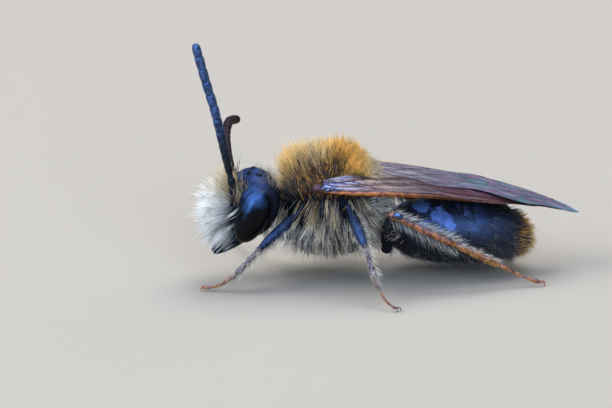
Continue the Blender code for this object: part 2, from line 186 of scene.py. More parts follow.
@dataclass(frozen=True)
class BeeFrame:
    """The bee's own millimetres in the frame's metres.

    The abdomen's front is a known distance behind the bee's origin, and the thorax straddles
    its middle, so these two nodes give the shift.
    """

    abdomen_front: float = 2.46

    @property
    def shift(self) -> Array:
        """The place of the bee's own origin, in the frame's millimetres."""
        low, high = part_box("thorax")
        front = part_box("abdomen_segment_1")[0].x / MM
        return np.array([front - self.abdomen_front, (low.y + high.y) / 2 / MM, 0.0])

    def centre(self, node: str) -> Array:
        """The middle of a node's box, in the bee's own millimetres."""
        low, high = (np.array(corner) / MM - self.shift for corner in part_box(node))
        return (low + high) / 2

    def metres(self, place: Sequence[float]) -> Vector:
        """A place of the bee's own, in the frame's metres."""
        return Vector((np.array(place, float) + self.shift) * MM)

    def matrix(self) -> Matrix:
        """From the bee's own millimetres to the frame's metres."""
        return Matrix.Scale(MM, 4) @ Matrix.Translation(Vector(self.shift))


FRAME = BeeFrame()


# --- shader maths ---

class Signal:
    """A shader socket's value, with operators that add Math nodes."""

    def __init__(self, graph: "Graph", socket: bpy.types.NodeSocket) -> None:
        """Wrap a socket of the graph."""
        self.graph = graph
        self.socket = socket

    def _math(self, operation: str, first: "Feed", second: "Feed" = 0.0) -> "Signal":
        """Add one Math node on two values."""
        return self.graph.node("ShaderNodeMath", {"operation": operation}, {0: first, 1: second})

    def __add__(self, other: "Feed") -> "Signal":
        """Self plus other."""
        return self._math("ADD", self, other)

    def __sub__(self, other: "Feed") -> "Signal":
        """Self minus other."""
        return self._math("SUBTRACT", self, other)

    def __rsub__(self, other: "Feed") -> "Signal":
        """Other minus self."""
        return self._math("SUBTRACT", other, self)

    def __mul__(self, other: "Feed") -> "Signal":
        """Self times other."""
        return self._math("MULTIPLY", self, other)

    __radd__ = __add__
    __rmul__ = __mul__

    def between(self, low: float, high: float, start: float = 0.0, stop: float = 1.0) -> "Signal":
        """Self mapped smoothly from low..high to start..stop."""
        return self.graph.node("ShaderNodeMapRange", {"interpolation_type": "SMOOTHSTEP"},
                               {0: self, 1: low, 2: high, 3: start, 4: stop})


Feed = Union[Signal, float, Sequence[float]]


class Graph:
    """One material's nodes, ending in a Principled shader."""

    def __init__(self, name: str) -> None:
        """Start an empty material."""
        self.material = bpy.data.materials.new(name)
        self.material.use_nodes = True
        self.tree = self.material.node_tree
        self.tree.nodes.clear()

    def node(self, kind: str, settings: Optional[dict] = None, inputs: Optional[dict] = None,
             output: Union[int, str] = 0) -> Signal:
        """Add any node.

        Args:
            kind: The node's type.
            settings: Its own settings, set before its sockets. A ramp takes its stops as "stops".
            inputs: Values or signals for its sockets, by name or number.
            output: The output that is wanted.

        Returns:
            The output as a signal.
        """
        made = self.tree.nodes.new(kind)
        for key, value in (settings or {}).items():
            if key == "stops":
                self._set_stops(made.color_ramp, value)
            else:
                setattr(made, key, value)
        for key, value in (inputs or {}).items():
            if isinstance(value, Signal):
                self.tree.links.new(value.socket, made.inputs[key])
            else:
                wide = made.inputs[key].type == "RGBA" and len(value) == 3
                made.inputs[key].default_value = (*value, 1.0) if wide else value
        return Signal(self, made.outputs[output])

    @staticmethod
    def _set_stops(ramp: bpy.types.ColorRamp, stops: Sequence[tuple[float, Colour]]) -> None:
        """Give a colour ramp its stops."""
        while len(ramp.elements) < len(stops):
            ramp.elements.new(1.0)
        for element, (place, colour) in zip(ramp.elements, stops):
            element.position = place
            element.color = (*colour, 1.0)

    def object_place(self, stretch: Place = (1.0, 1.0, 1.0)) -> Signal:
        """Object coordinates in millimetres, stretched along each axis."""
        place = self.node("ShaderNodeTexCoord", output="Object")
        scale = tuple(part / MM for part in stretch)
        return self.node("ShaderNodeMapping", None, {"Vector": place, "Scale": scale})

    def axis(self, number: int) -> Signal:
        """One axis of the Object coordinates, in millimetres."""
        return self.node("ShaderNodeSeparateXYZ", None, {"Vector": self.object_place()}, number)

    def noise(self, size: float, place: Optional[Signal] = None, detail: float = 2.0,
              distortion: float = 0.0) -> Signal:
        """Noise with grains of the given size in millimetres."""
        return self.node("ShaderNodeTexNoise", None, {
            "Vector": place or self.object_place(), "Scale": 1.0 / size, "Detail": detail,
            "Distortion": distortion})

    def cells(self, size: float) -> Signal:
        """Distance from the middle of cells of the given size in millimetres."""
        return self.node("ShaderNodeTexVoronoi", None,
                         {"Vector": self.object_place(), "Scale": 1.0 / size}, "Distance")

    def ramp(self, value: Signal, stops: Sequence[tuple[float, Colour]]) -> Signal:
        """A colour scale read at a value."""
        return self.node("ShaderNodeValToRGB", {"stops": stops}, {"Fac": value}, "Color")

    def mix(self, share: Feed, first: Feed, second: Feed, blend: str = "MIX") -> Signal:
        """Two colours mixed by a share."""
        return self.node("ShaderNodeMix", {"data_type": "RGBA", "blend_type": blend},
                         {0: share, 6: first, 7: second}, 2)

    def attribute(self, name: str) -> tuple[Signal, Signal, Signal]:
        """The three parts of a colour attribute of the mesh."""
        colour = self.node("ShaderNodeAttribute", {"attribute_name": name}, None, "Color")
        return tuple(self.node("ShaderNodeSeparateColor", None, {"Color": colour}, part)
                     for part in range(3))

    def bump(self, height: Signal, depth: float) -> Signal:
        """A normal bent by a height of 0 to 1 over the given depth in millimetres."""
        return self.node("ShaderNodeBump", None, {"Height": height, "Distance": depth * MM})

    def finish(self, **inputs: Feed) -> bpy.types.Material:
        """End in a Principled shader.

        Args:
            inputs: Its sockets, with underscores for spaces.

        Returns:
            The material.
        """
        named = {key.replace("_", " "): value for key, value in inputs.items()}
        shader = self.node("ShaderNodeBsdfPrincipled", None, named)
        end = self.tree.nodes.new("ShaderNodeOutputMaterial")
        self.tree.links.new(shader.socket, end.inputs["Surface"])
        return self.material


# --- finishes ---

@dataclass(frozen=True)
class Finish:
    """A finish with a name, made into a material once."""

    name: str

    def material(self) -> bpy.types.Material:
        """The finish's material."""
        return bpy.data.materials.get(self.name) or self.build()

    def build(self) -> bpy.types.Material:
        """Make the material."""
        raise NotImplementedError


@dataclass(frozen=True)
class ShellFinish(Finish):
    """Hard shell: black or steel blue in clouds, finely pitted, with a satin gloss.

    Steel blue clouds are a painted reflection of blue sky, not the shell's own colour. Each fade is an axis
    with the places, in the frame's millimetres, where the shell is black and where it has its full colour;
    it bounds the painted blue reflection and leaves the rest black.
    """

    dark: Colour = (0.004, 0.006, 0.012)
    light: Colour = (0.014, 0.024, 0.062)
    cloud_size: float = 0.45
    fades: tuple[tuple[int, float, float], ...] = ()
    fade_swing: float = 1.2
    edge: float = 0.15
    gloss: float = 0.6
    roughness: float = 0.38
    pit_size: float = 0.07
    pit_depth: float = 0.006
    grain_size: float = 0.014
    grain_depth: float = 0.0012

    def build(self) -> bpy.types.Material:
        """Mottled colour, pits and a fine leathery grain; blue clouds are painted sky reflection and the
        pits hold painted shade.
        """
        g = Graph(self.name)
        cloud = g.noise(self.cloud_size, detail=3.0)
        fine = g.noise(self.grain_size, detail=3.0)
        pits = g.cells(self.pit_size).between(0.12, 0.34)
        # Clouds of the light colour: where it is blue, a painted reflection of blue sky.
        colour = g.mix(cloud.between(0.5 - self.edge, 0.5 + self.edge), self.dark, self.light)
        # Pit centres drawn towards the dark colour: painted shade inside the punctures.
        colour = g.mix(pits * 0.6 + 0.4, self.dark, colour)
        rough = self.roughness + (fine - 0.5) * 0.16 + (1.0 - pits) * 0.15
        # Each fade turns the painted blue reflection to black away from the sky-facing parts.
        for axis, black, full in self.fades:
            share = (g.axis(axis) + (cloud - 0.5) * self.fade_swing).between(black, full)
            colour = g.mix(share, (0.003, 0.003, 0.004), colour)
            rough = rough + (1.0 - share) * 0.1
        first = g.bump(pits, self.pit_depth)
        normal = g.node("ShaderNodeBump", None, {
            "Height": fine, "Distance": self.grain_depth * MM, "Normal": first})
        return g.finish(Base_Color=colour, Roughness=rough, Normal=normal, Specular_IOR_Level=self.gloss)


@dataclass(frozen=True)
class EyeFinish(Finish):
    """A compound eye: polished black with tiny six-sided facets; its upper front may carry a painted
    reflection colour.
    """

    colour: Colour = (0.0025, 0.0025, 0.003)
    shimmer: Colour = (0.0025, 0.0025, 0.003)
    facet: float = 0.026
    # Where the painted reflection fades in: up the frame's Z and forward along its X, in millimetres.
    rise: tuple[float, float] = (2.6, 3.05)
    reach: tuple[float, float] = (-3.7, -4.4)

    def build(self) -> bpy.types.Material:
        """Facets in fine relief under a clear polish, with a painted reflection of blue sky high on the
        front.
        """
        g = Graph(self.name)
        facets = g.cells(self.facet)
        cloud = g.noise(0.5)
        soft = (cloud - 0.5) * 0.5
        share = (g.axis(2) + soft).between(*self.rise) * (g.axis(0) + soft).between(*self.reach)
        colour = g.mix(share, self.colour, self.shimmer)
        return g.finish(Base_Color=colour, Roughness=0.15 + cloud * 0.1, Specular_IOR_Level=0.1,
                        Normal=g.bump(1.0 - facets, 0.0016))


@dataclass(frozen=True)
class HornFinish(Finish):
    """Thin brown shell, as on the lower legs, the wing roots and the feelers' far sides."""

    dark: Colour = (0.05, 0.018, 0.008)
    light: Colour = (0.32, 0.13, 0.045)
    roughness: float = 0.4
    gloss: float = 0.3
    darkening: Optional[tuple[float, float]] = None

    def build(self) -> bpy.types.Material:
        """Cloudy brown with a fine grain, darkening backwards between two places if so asked."""
        g = Graph(self.name)
        cloud = g.noise(0.16, detail=4.0)
        fine = g.noise(0.02, detail=2.0)
        colour = g.mix(cloud.between(0.36, 0.64), self.dark, self.light)
        if self.darkening:
            shade = tuple(part * 0.35 for part in self.dark)
            colour = g.mix(g.axis(0).between(*self.darkening), colour, shade)
        return g.finish(Base_Color=colour, Roughness=self.roughness + (fine - 0.5) * 0.2,
                        Normal=g.bump(fine, 0.002), Specular_IOR_Level=self.gloss)


@dataclass(frozen=True)
class HairFinish(Finish):
    """Hair whose colour comes from each strand's tone, from dark at the root to pale at the tip; the darker
    roots are partly the hair's own colour and partly painted shade where the coat shades its own roots.
    """

    # Root colours, darker than the tips: partly painted shade inside the coat.
    roots: tuple = ((0.010, 0.009, 0.010), (0.035, 0.035, 0.038), (0.035, 0.020, 0.014),
                    (0.26, 0.10, 0.014), (0.36, 0.18, 0.04), (0.26, 0.20, 0.11), (0.48, 0.51, 0.53))
    tips: tuple = ((0.03, 0.026, 0.024), (0.2, 0.21, 0.22), (0.088, 0.057, 0.042),
                   (0.80, 0.42, 0.06), (0.84, 0.57, 0.18), (0.72, 0.62, 0.43), (0.95, 0.99, 1.0))

    def build(self) -> bpy.types.Material:
        """Read the strand's tint, rise and tone."""
        g = Graph(self.name)
        tint, rise, tone = g.attribute("strand")
        places = [entry.value for entry in Tone]
        low = g.ramp(tone, list(zip(places, self.roots)))
        high = g.ramp(tone, list(zip(places, self.tips)))
        # Root to tip: the dark root end is partly painted self-shadow of the coat.
        colour = g.mix(rise.between(0.0, 0.75), low, high)
        shade = 0.35 + tint * 1.15
        grey = g.node("ShaderNodeCombineColor", None, {0: shade, 1: shade, 2: shade})
        colour = g.mix(1.0, colour, grey, "MULTIPLY")
        return g.finish(Base_Color=colour, Roughness=0.6 - tint * 0.15, Specular_IOR_Level=0.1)


@dataclass(frozen=True)
class WingFinish(Finish):
    """Smoky wing film that turns to iridescent streaks beyond its middle, with pale streaks of painted
    highlight near its root.
    """

    # Smoke defaults, used by the right film: its pale lavender is partly a painted reflection of the sky.
    smoke: tuple[Colour, Colour] = ((0.10, 0.09, 0.12), (0.50, 0.47, 0.57))
    # Colour of the fine pale streaks near the root: a painted highlight.
    pale: Colour = (0.62, 0.56, 0.64)
    bright: tuple = ((0.32, (0.05, 0.045, 0.08)), (0.41, (0.20, 0.22, 0.33)), (0.46, (0.26, 0.16, 0.28)),
                     (0.51, (0.08, 0.08, 0.14)), (0.56, (0.08, 0.24, 0.28)), (0.62, (0.22, 0.17, 0.28)),
                     (0.70, (0.30, 0.32, 0.43)))
    root_cover: float = 0.5
    tip_cover: float = 0.9
    change: tuple[float, float] = (0.3, 0.6)
    film: float = 380.0
    gloss: float = 0.5

    def build(self) -> bpy.types.Material:
        """Colour by noise drawn out along the wing, with pale painted highlight streaks near the root; the
        film is clearer near the root.
        """
        g = Graph(self.name)
        along, _, _ = g.attribute("film")
        streak = g.noise(1.0, g.object_place((0.75, 2.1, 1.0)), detail=3.0, distortion=0.6)
        fleck = g.noise(0.3, g.object_place((0.6, 1.8, 1.0)), detail=2.0)
        hue = streak * 0.75 + fleck * 0.25
        outer = (along + (streak - 0.5) * 0.2).between(*self.change)
        smoke = g.mix(hue.between(0.35, 0.65), *self.smoke)
        fine = g.noise(0.12, g.object_place((0.25, 2.2, 1.0)), detail=2.0)
        # Pale streaks fading out from the root: painted highlight.
        smoke = g.mix(along.between(0.4, 0.1) * fine.between(0.42, 0.58), smoke, self.pale)
        colour = g.mix(outer, smoke, g.ramp(hue, self.bright))
        cover = outer.between(0.0, 1.0, self.root_cover, self.tip_cover) + (streak - 0.5) * 0.3
        return g.finish(Base_Color=colour, Roughness=0.24 + fleck * 0.2, Alpha=cover, Metallic=0.25,
                        Normal=g.bump(streak + fleck * 0.4, 0.02), Specular_IOR_Level=self.gloss,
                        Thin_Film_Thickness=self.film, Thin_Film_IOR=1.4)


@dataclass(frozen=True)
class FloorFinish(Finish):
    """A plain pale floor."""

    colour: Colour = (0.44, 0.42, 0.38)

    def build(self) -> bpy.types.Material:
        """A faintly uneven matt."""
        g = Graph(self.name)
        cloud = g.noise(30.0, detail=2.0)
        colour = g.mix(cloud, tuple(part * 0.96 for part in self.colour), self.colour)
        return g.finish(Base_Color=colour, Roughness=0.8, Specular_IOR_Level=0.2)


JAW_SHELL = ShellFinish(
    "jaw shell", light=(0.007, 0.009, 0.018), pit_size=0.04, pit_depth=0.003, gloss=0.1)
# Navy and steel blue in the head, abdomen, hinge, knee plate, limb, fore thigh and feeler shells is a
# painted reflection of blue sky; where a shell has sheen fades, they keep it off its lower and rear parts.
HEAD_SHELL = ShellFinish(
    "head shell", dark=(0.006, 0.014, 0.045), light=(0.020, 0.050, 0.155), cloud_size=0.3,
    fades=((2, 2.7, 3.2), (0, -3.65, -4.05)), fade_swing=0.5, pit_size=0.06, pit_depth=0.01,
    roughness=0.5, gloss=0.14)
ABDOMEN_SHELL = ShellFinish(
    "abdomen shell", dark=(0.007, 0.010, 0.022), light=(0.09, 0.19, 0.6), cloud_size=0.55, edge=0.05,
    fades=((0, 3.7, 1.5), (2, 1.65, 2.1)), fade_swing=1.4, pit_size=0.06, roughness=0.42, gloss=0.25)
THORAX_SHELL = ShellFinish(
    "thorax shell", light=(0.005, 0.006, 0.010), pit_size=0.085, pit_depth=0.01, roughness=0.7,
    gloss=0.04)
HINGE = ShellFinish("wing hinge", light=(0.02, 0.03, 0.08), cloud_size=0.1, roughness=0.25, gloss=0.6)
KNEE_PLATE = ShellFinish(
    "knee plate", dark=(0.008, 0.02, 0.05), light=(0.02, 0.05, 0.12), pit_depth=0.001, roughness=0.2,
    gloss=0.6)
HIND_THIGH = ShellFinish(
    "hind thigh", light=(0.006, 0.007, 0.010), pit_size=0.05, pit_depth=0.002, roughness=0.6, gloss=0.03)
LIMB_SHELL = ShellFinish(
    "limb shell", dark=(0.006, 0.012, 0.035), light=(0.022, 0.042, 0.13), cloud_size=0.3,
    fades=((2, 2.42, 2.12),), fade_swing=0.3, pit_size=0.05, pit_depth=0.002, roughness=0.45, gloss=0.18)
FORE_THIGH = replace(
    LIMB_SHELL, name="fore thigh", dark=(0.005, 0.01, 0.03), light=(0.017, 0.033, 0.1),
    fades=((2, 2.3, 2.0),), gloss=0.1)
FEELER_SHELL = ShellFinish(
    "feeler shell", dark=(0.012, 0.027, 0.08), light=(0.045, 0.1, 0.26), cloud_size=0.14,
    fades=((2, 4.3, 6.4),), pit_size=0.03, pit_depth=0.001, roughness=0.45, gloss=0.25)
FAR_FEELER = HornFinish(
    "feeler brown", dark=(0.008, 0.004, 0.004), light=(0.028, 0.012, 0.01), roughness=0.6, gloss=0.08)
OCELLUS = EyeFinish("ocellus", facet=10.0)
# The eye's blue upper front is a painted reflection of blue sky.
EYE = EyeFinish("compound eye", shimmer=(0.035, 0.10, 0.33))
ORANGE_LEG = HornFinish("orange leg", dark=(0.10, 0.028, 0.012), light=(0.44, 0.17, 0.05))
DARK_LEG = HornFinish("dark leg", dark=(0.035, 0.02, 0.024), light=(0.15, 0.09, 0.095), gloss=0.18)
BROWN_LEG = HornFinish("brown leg", dark=(0.06, 0.025, 0.015), light=(0.26, 0.12, 0.06))
WING_CAP = HornFinish(
    "wing cap", dark=(0.02, 0.009, 0.010), light=(0.10, 0.048, 0.048), roughness=0.35, gloss=0.08)
VEIN = HornFinish("wing vein", dark=(0.03, 0.012, 0.012), light=(0.16, 0.06, 0.035), roughness=0.3)
AMBER_VEIN = HornFinish(
    "amber vein", dark=(0.16, 0.045, 0.010), light=(0.52, 0.19, 0.035), roughness=0.35, gloss=0.12,
    darkening=(-0.4, 2.2))
# One film in two copies: the far right film's pale lavender is partly painted sky reflection; the near left
# copy is painted darker and duller.
RIGHT_FILM = WingFinish("right wing film")
LEFT_FILM = WingFinish(
    "left wing film", smoke=((0.025, 0.022, 0.026), (0.21, 0.20, 0.21)), pale=(0.50, 0.41, 0.31),
    bright=((0.30, (0.012, 0.005, 0.007)), (0.45, (0.034, 0.012, 0.016)), (0.55, (0.06, 0.024, 0.03)),
            (0.70, (0.03, 0.02, 0.04))), change=(0.22, 0.5), film=225.0, gloss=0.12)
AMBER_HAIR = HairFinish("amber hair")
WHITE_HAIR = HairFinish("white hair")
FLOOR = FloorFinish("floor")


# --- the bench ---

@dataclass(frozen=True)
class Ring:
    """One ring of a lofted shape: its place along Z, half sizes on X and Y, and middle."""

    along: float
    wide: float
    deep: float
    x: float = 0.0
    y: float = 0.0


class Bench:
    """Blender's modelling operators, on one object at a time."""

    @staticmethod
    def clear() -> None:
        """Leave edit mode and deselect everything."""
        if bpy.context.object and bpy.context.object.mode != "OBJECT":
            bpy.ops.object.mode_set(mode="OBJECT")
        bpy.ops.object.select_all(action="DESELECT")

    @classmethod
    def take(cls, *pieces: Piece) -> None:
        """Select these pieces alone and make the first active."""
        cls.clear()
        for piece in pieces:
            piece.select_set(True)
        bpy.context.view_layer.objects.active = pieces[0]

    @classmethod
    def loft(cls, rings: Sequence[Ring], sides: int, rounds: int = 1) -> Piece:
        """Extrude a disc through the rings and round the result.

        Args:
            rings: The rings in order along Z.
            sides: Corners of each ring.
            rounds: Levels of subdivision, applied.

        Returns:
            The closed piece.
        """
        cls.clear()
        first = rings[0]
        bpy.ops.mesh.primitive_circle_add(vertices=sides, radius=1.0, fill_type="NGON",
                                          location=(0, 0, 0))
        piece = bpy.context.object
        cls.open()
        bpy.ops.transform.resize(value=(first.wide, first.deep, 1.0), center_override=(0, 0, 0))
        bpy.ops.transform.translate(value=(first.x, first.y, first.along))
        for before, ring in zip(rings, rings[1:]):
            step = (ring.x - before.x, ring.y - before.y, ring.along - before.along)
            bpy.ops.mesh.extrude_region_move(TRANSFORM_OT_translate={"value": step})
            grow = (ring.wide / before.wide, ring.deep / before.deep, 1.0)
            bpy.ops.transform.resize(value=grow, center_override=(ring.x, ring.y, ring.along))
        cls.seal()
        cls.settle(piece)
        return cls.modify(piece, "SUBSURF", levels=rounds, render_levels=rounds)

    @staticmethod
    def open() -> None:
        """Enter edit mode with all of the mesh selected."""
        bpy.ops.object.mode_set(mode="EDIT")
        bpy.ops.mesh.select_all(action="SELECT")

    @staticmethod
    def settle(piece: Piece) -> None:
        """Put a cage's points and faces in an order that is the same in every run."""
        points = Bench.points(piece)
        order = np.lexsort(points.round(5).T)
        rank = np.argsort(order).tolist()
        faces = []
        for polygon in piece.data.polygons:
            corners = [rank[corner] for corner in polygon.vertices]
            first = corners.index(min(corners))
            faces.append(corners[first:] + corners[:first])
        piece.data.clear_geometry()
        piece.data.from_pydata(points[order].tolist(), [], sorted(faces))

    @staticmethod
    def seal() -> None:
        """In edit mode: merge doubles, turn the normals outwards and leave edit mode."""
        bpy.ops.mesh.select_all(action="SELECT")
        bpy.ops.mesh.remove_doubles(threshold=WELD)
        bpy.ops.mesh.normals_make_consistent(inside=False)
        bpy.ops.object.mode_set(mode="OBJECT")

    @classmethod
    def modify(cls, piece: Piece, kind: str, **settings: float) -> Piece:
        """Give a piece a modifier with its settings, and apply it."""
        cls.take(piece)
        modifier = piece.modifiers.new(kind, kind)
        for key, value in settings.items():
            setattr(modifier, key, value)
        bpy.ops.object.modifier_apply(modifier=modifier.name)
        return piece

    @classmethod
    def ball(cls, radii: Place, segments: int, rings: int, place: Sequence[float] = (0, 0, 0)) -> Piece:
        """An ellipsoid round a place."""
        cls.clear()
        bpy.ops.mesh.primitive_uv_sphere_add(segments=segments, ring_count=rings, radius=1.0)
        piece = bpy.context.object
        cls.open()
        bpy.ops.transform.resize(value=tuple(radii), center_override=(0, 0, 0))
        bpy.ops.object.mode_set(mode="OBJECT")
        cls.settle(piece)
        return cls.place(piece, Matrix.Translation(place))

    @classmethod
    def ring(cls, major: float, minor: float) -> Piece:
        """A torus round the origin's Z."""
        cls.clear()
        bpy.ops.mesh.primitive_torus_add(major_radius=major, minor_radius=minor,
                                         major_segments=28, minor_segments=10)
        return bpy.context.object

    @classmethod
    def limb(cls, start: Vector, end: Vector, radius: float, profile: Sequence, flat: float = 1.0,
             sides: int = 16) -> Piece:
        """A straight stretch of limb between two places, by shares of its length and radius."""
        length = (end - start).length
        rings = [Ring(share * length, radius * size * flat, radius * size) for share, size in profile]
        return cls.place(cls.loft(rings, sides), aim(start, end))

    @classmethod
    def cords(cls, runs: Iterable[tuple[Array, Sequence[float]]], roundness: int = 2
              ) -> Piece:
        """Round bars along paths, as one mesh.

        Args:
            runs: Each bar's path and its radius at each point.
            roundness: The bevel's resolution, for 4 + 2 × roundness sides.

        Returns:
            The closed bars.
        """
        curve = bpy.data.curves.new("cords", "CURVE")
        curve.dimensions = "3D"
        curve.bevel_depth = 1.0
        curve.bevel_resolution = roundness
        curve.use_fill_caps = True
        for path, radii in runs:
            spline = curve.splines.new("POLY")
            spline.points.add(len(path) - 1)
            for point, place, radius in zip(spline.points, path, radii):
                point.co = (*place, 1.0)
                point.radius = radius
        piece = bpy.data.objects.new("cords", curve)
        bpy.context.scene.collection.objects.link(piece)
        cls.take(piece)
        bpy.ops.object.convert(target="MESH")
        piece = bpy.context.object
        bpy.ops.object.mode_set(mode="EDIT")
        cls.seal()
        cls.settle(piece)
        return piece

    @classmethod
    def join(cls, pieces: Sequence[Piece]) -> Piece:
        """Join pieces into the first."""
        cls.take(*pieces)
        bpy.ops.object.join()
        return bpy.context.object

    @staticmethod
    def sculpt(piece: Piece, move: Callable[..., Shape]) -> Piece:
        """Move a mesh's points by a function from their x, y and z to the new ones."""
        moved = np.stack(move(*Bench.points(piece).T.copy()), axis=1)
        piece.data.vertices.foreach_set("co", moved.astype(np.float32).ravel())
        piece.data.update()
        return piece

    @staticmethod
    def points(piece: Piece) -> Array:
        """A mesh's points."""
        return fetch(piece.data.vertices, "co").astype(float)

    @staticmethod
    def place(piece: Piece, matrix: Matrix) -> Piece:
        """Move a piece's mesh by a matrix."""
        piece.data.transform(matrix)
        piece.data.update()
        return piece

    @staticmethod
    def mark(mesh: bpy.types.Mesh, name: str, values: Array) -> None:
        """Store three numbers a point as a colour attribute."""
        layer = mesh.attributes.new(name, "FLOAT_COLOR", "POINT")
        full = np.ones((len(values), 4), np.float32)
        full[:, :values.shape[1]] = values
        layer.data.foreach_set("color", full.ravel())

    @classmethod
    def hand_over(cls, piece: Piece, name: str, finish: Finish, slot: str,
                  nodes: Sequence[str] = (), smooth: bool = True) -> Piece:
        """Settle a piece in the frame, dress it, hang it under the root and hide the CAD nodes that it
        stands for.

        Args:
            piece: The finished mesh, in the bee's own millimetres.
            name: Its name.
            finish: What it is dressed in.
            slot: The record's material slot; not used.
            nodes: The CAD nodes that it stands for.
            smooth: Whether to shade it smooth by angle.

        Returns:
            The piece.
        """
        piece.name = piece.data.name = name
        cls.place(piece, FRAME.matrix())
        piece.data.materials.clear()
        piece.data.materials.append(finish.material())
        if smooth:
            cls.take(piece)
            bpy.ops.object.shade_smooth_by_angle(angle=SMOOTH_ANGLE)
        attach(piece, "root")
        if nodes:
            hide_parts(*nodes)
        piece.data.calc_loop_triangles()
        log.info("%s: %d triangles", name, len(piece.data.loop_triangles))
        return piece


# --- hair ---

class Spots:
    """Places on a skin and its normals there, with the places' parts in a coat's own axes."""

    def __init__(self, points: Array, normals: Array, origin: Place, axes: Array) -> None:
        """Take places and normals in the bee's axes, and the coat's origin and axes."""
        self.points, self.normals, self.axes = points, normals, axes
        self.x, self.y, self.z = ((points - np.array(origin)) @ axes.T).T
        self.side = abs(self.y)
        self.up = normals[:, 2]


Field = Callable[[Spots], Array]


def read(value: Union[Field, float, Place], spots: Spots) -> Union[Array, float, Sequence]:
    """A field's values at places, or a fixed value as it is."""
    return value(spots) if callable(value) else value


def lie(off: float, way: Union[Field, Place]) -> Field:
    """A lie of hair: the way it is swept, in the coat's axes, and a share of the skin's normal."""
    def lean(spots: Spots) -> Array:
        """The way that hair points at places."""
        parts = [np.broadcast_to(part, len(spots.x)) for part in read(way, spots)]
        return spots.normals * off + np.stack(parts, axis=1) @ spots.axes
    return lean


def streaked(waves: Place, level: float, pale: float, dusky: float) -> Field:
    """Pale and dusky hair in streaks of so many radians a millimetre along each axis."""
    return lambda s: np.where(np.sin(s.x * waves[0] + s.y * waves[1] + s.z * waves[2]) > level,
                              pale, dusky)


def mixed(pale: float, dusky: float, share: float, grain: float = 40.0) -> Field:
    """Pale hair with a share of dusky locks, in grains of so many radians a millimetre."""
    def tone(spots: Spots) -> Array:
        """Pale or dusky at places."""
        sway = 0.05 * np.sin(spots.points @ np.array([-0.7, 1.2, 0.9]) * grain)
        wave = spots.points @ np.array([1.0, 0.83, 1.31]) + sway
        return np.where(np.sin(wave * grain) > math.cos(math.pi * share), dusky, pale)
    return tone


def round_path(path: Sequence[Sequence[float]]) -> Callable[[Array], Array]:
    """An unwrap of what lies round a path: the turn about its nearest stretch, and the way along it."""
    places = [np.array(place, float) for place in path]
    matrices = [np.array(aim(a, b).inverted()) for a, b in zip(places, places[1:])]
    lengths = [float(np.linalg.norm(b - a)) for a, b in zip(places, places[1:])]
    starts = np.concatenate([[0.0], np.cumsum(lengths)])

    def unwrap(points: Array) -> Array:
        """Places as (turn, way), each from 0 to 1."""
        best = np.full(len(points), np.inf)
        found = np.zeros((len(points), 2))
        for matrix, length, start in zip(matrices, lengths, starts):
            local = points @ matrix[:3, :3].T + matrix[:3, 3]
            way = np.clip(local[:, 2], 0.0, length)
            gap = np.hypot(np.hypot(local[:, 0], local[:, 1]), local[:, 2] - way)
            turn = np.arctan2(local[:, 1], local[:, 0]) / (2 * math.pi) + 0.5
            nearer = gap < best
            best[nearer] = gap[nearer]
            found[nearer] = np.stack([turn, (start + way) / starts[-1]], axis=1)[nearer]
        return found
    return unwrap


class Skin:
    """A finished shell's triangles, ready to take hair."""

    def __init__(self, pieces: Sequence[Piece]) -> None:
        """Read the shells in the bee's own millimetres."""
        points, faces, normals, start = [], [], [], 0
        for piece in pieces:
            piece.data.calc_loop_triangles()
            points.append(Bench.points(piece))
            faces.append(fetch(piece.data.loop_triangles, "vertices", np.int32) + start)
            normals.append(fetch(piece.data.vertex_normals, "vector").astype(float))
            start += len(points[-1])
        self.points, self.faces, self.normals = map(np.vstack, (points, faces, normals))
        a, b, c = (self.points[self.faces[:, i]] for i in range(3))
        self.areas = np.linalg.norm(np.cross(b - a, c - a), axis=1) / 2

    def roots(self, count: int, density: Callable[[Array, Array], Array],
              rng: np.random.Generator) -> tuple[Array, Array]:
        """Pick places on the skin.

        Args:
            count: How many.
            density: The share of them that each place takes, from places and normals.
            rng: The source of chance.

        Returns:
            The places and the skin's normals there.
        """
        many = count * 6
        face = rng.choice(len(self.faces), many, p=self.areas / self.areas.sum())
        u, v = rng.random((2, many))
        over = u + v > 1
        u[over], v[over] = 1 - u[over], 1 - v[over]
        share = np.stack([1 - u - v, u, v], axis=1)[..., None]
        points = (self.points[self.faces[face]] * share).sum(axis=1)
        normals = unit((self.normals[self.faces[face]] * share).sum(axis=1))
        weight = np.clip(density(points, normals), 0.0, None)
        count = min(count, int((weight > 0).sum() * 0.7))
        chosen = rng.choice(many, count, replace=False, p=weight / weight.sum())
        return points[chosen], normals[chosen]


@dataclass
class Patch:
    """Hair of one kind on part of a skin.

    Density is the share of hair that a place takes, lean is the way the hair points, trim
    shortens it, and tone is its place on the colour scale. A thickness tapers to the tip, ruffle
    bends strands apart, and a clump draws a lock's tips together.
    """

    count: int
    length: float
    density: Field
    lean: Field
    tone: Union[Field, float]
    trim: Union[Field, float] = 1.0
    bend: Place = (0.0, 0.0, 0.0)
    thickness: float = 0.022
    ruffle: float = 0.16
    clump: float = 0.4
    clump_of: int = 9
    levels: int = 3
    vary: float = 0.2
    tone_blur: float = 0.02


@dataclass
class Strands:
    """Grown strands: points, marks and map places by strand and point, and one strand's faces."""

    points: Array
    marks: Array
    uv: Array
    faces: Array

    def triangles(self) -> int:
        """How many triangles all the strands have."""
        return len(self.points) * len(self.faces)

    def cut(self, most: int) -> list["Strands"]:
        """The strands in batches of at most so many triangles."""
        step = max(1, most // len(self.faces))
        return [Strands(self.points[i:i + step], self.marks[i:i + step], self.uv[i:i + step], self.faces)
                for i in range(0, len(self.points), step)]


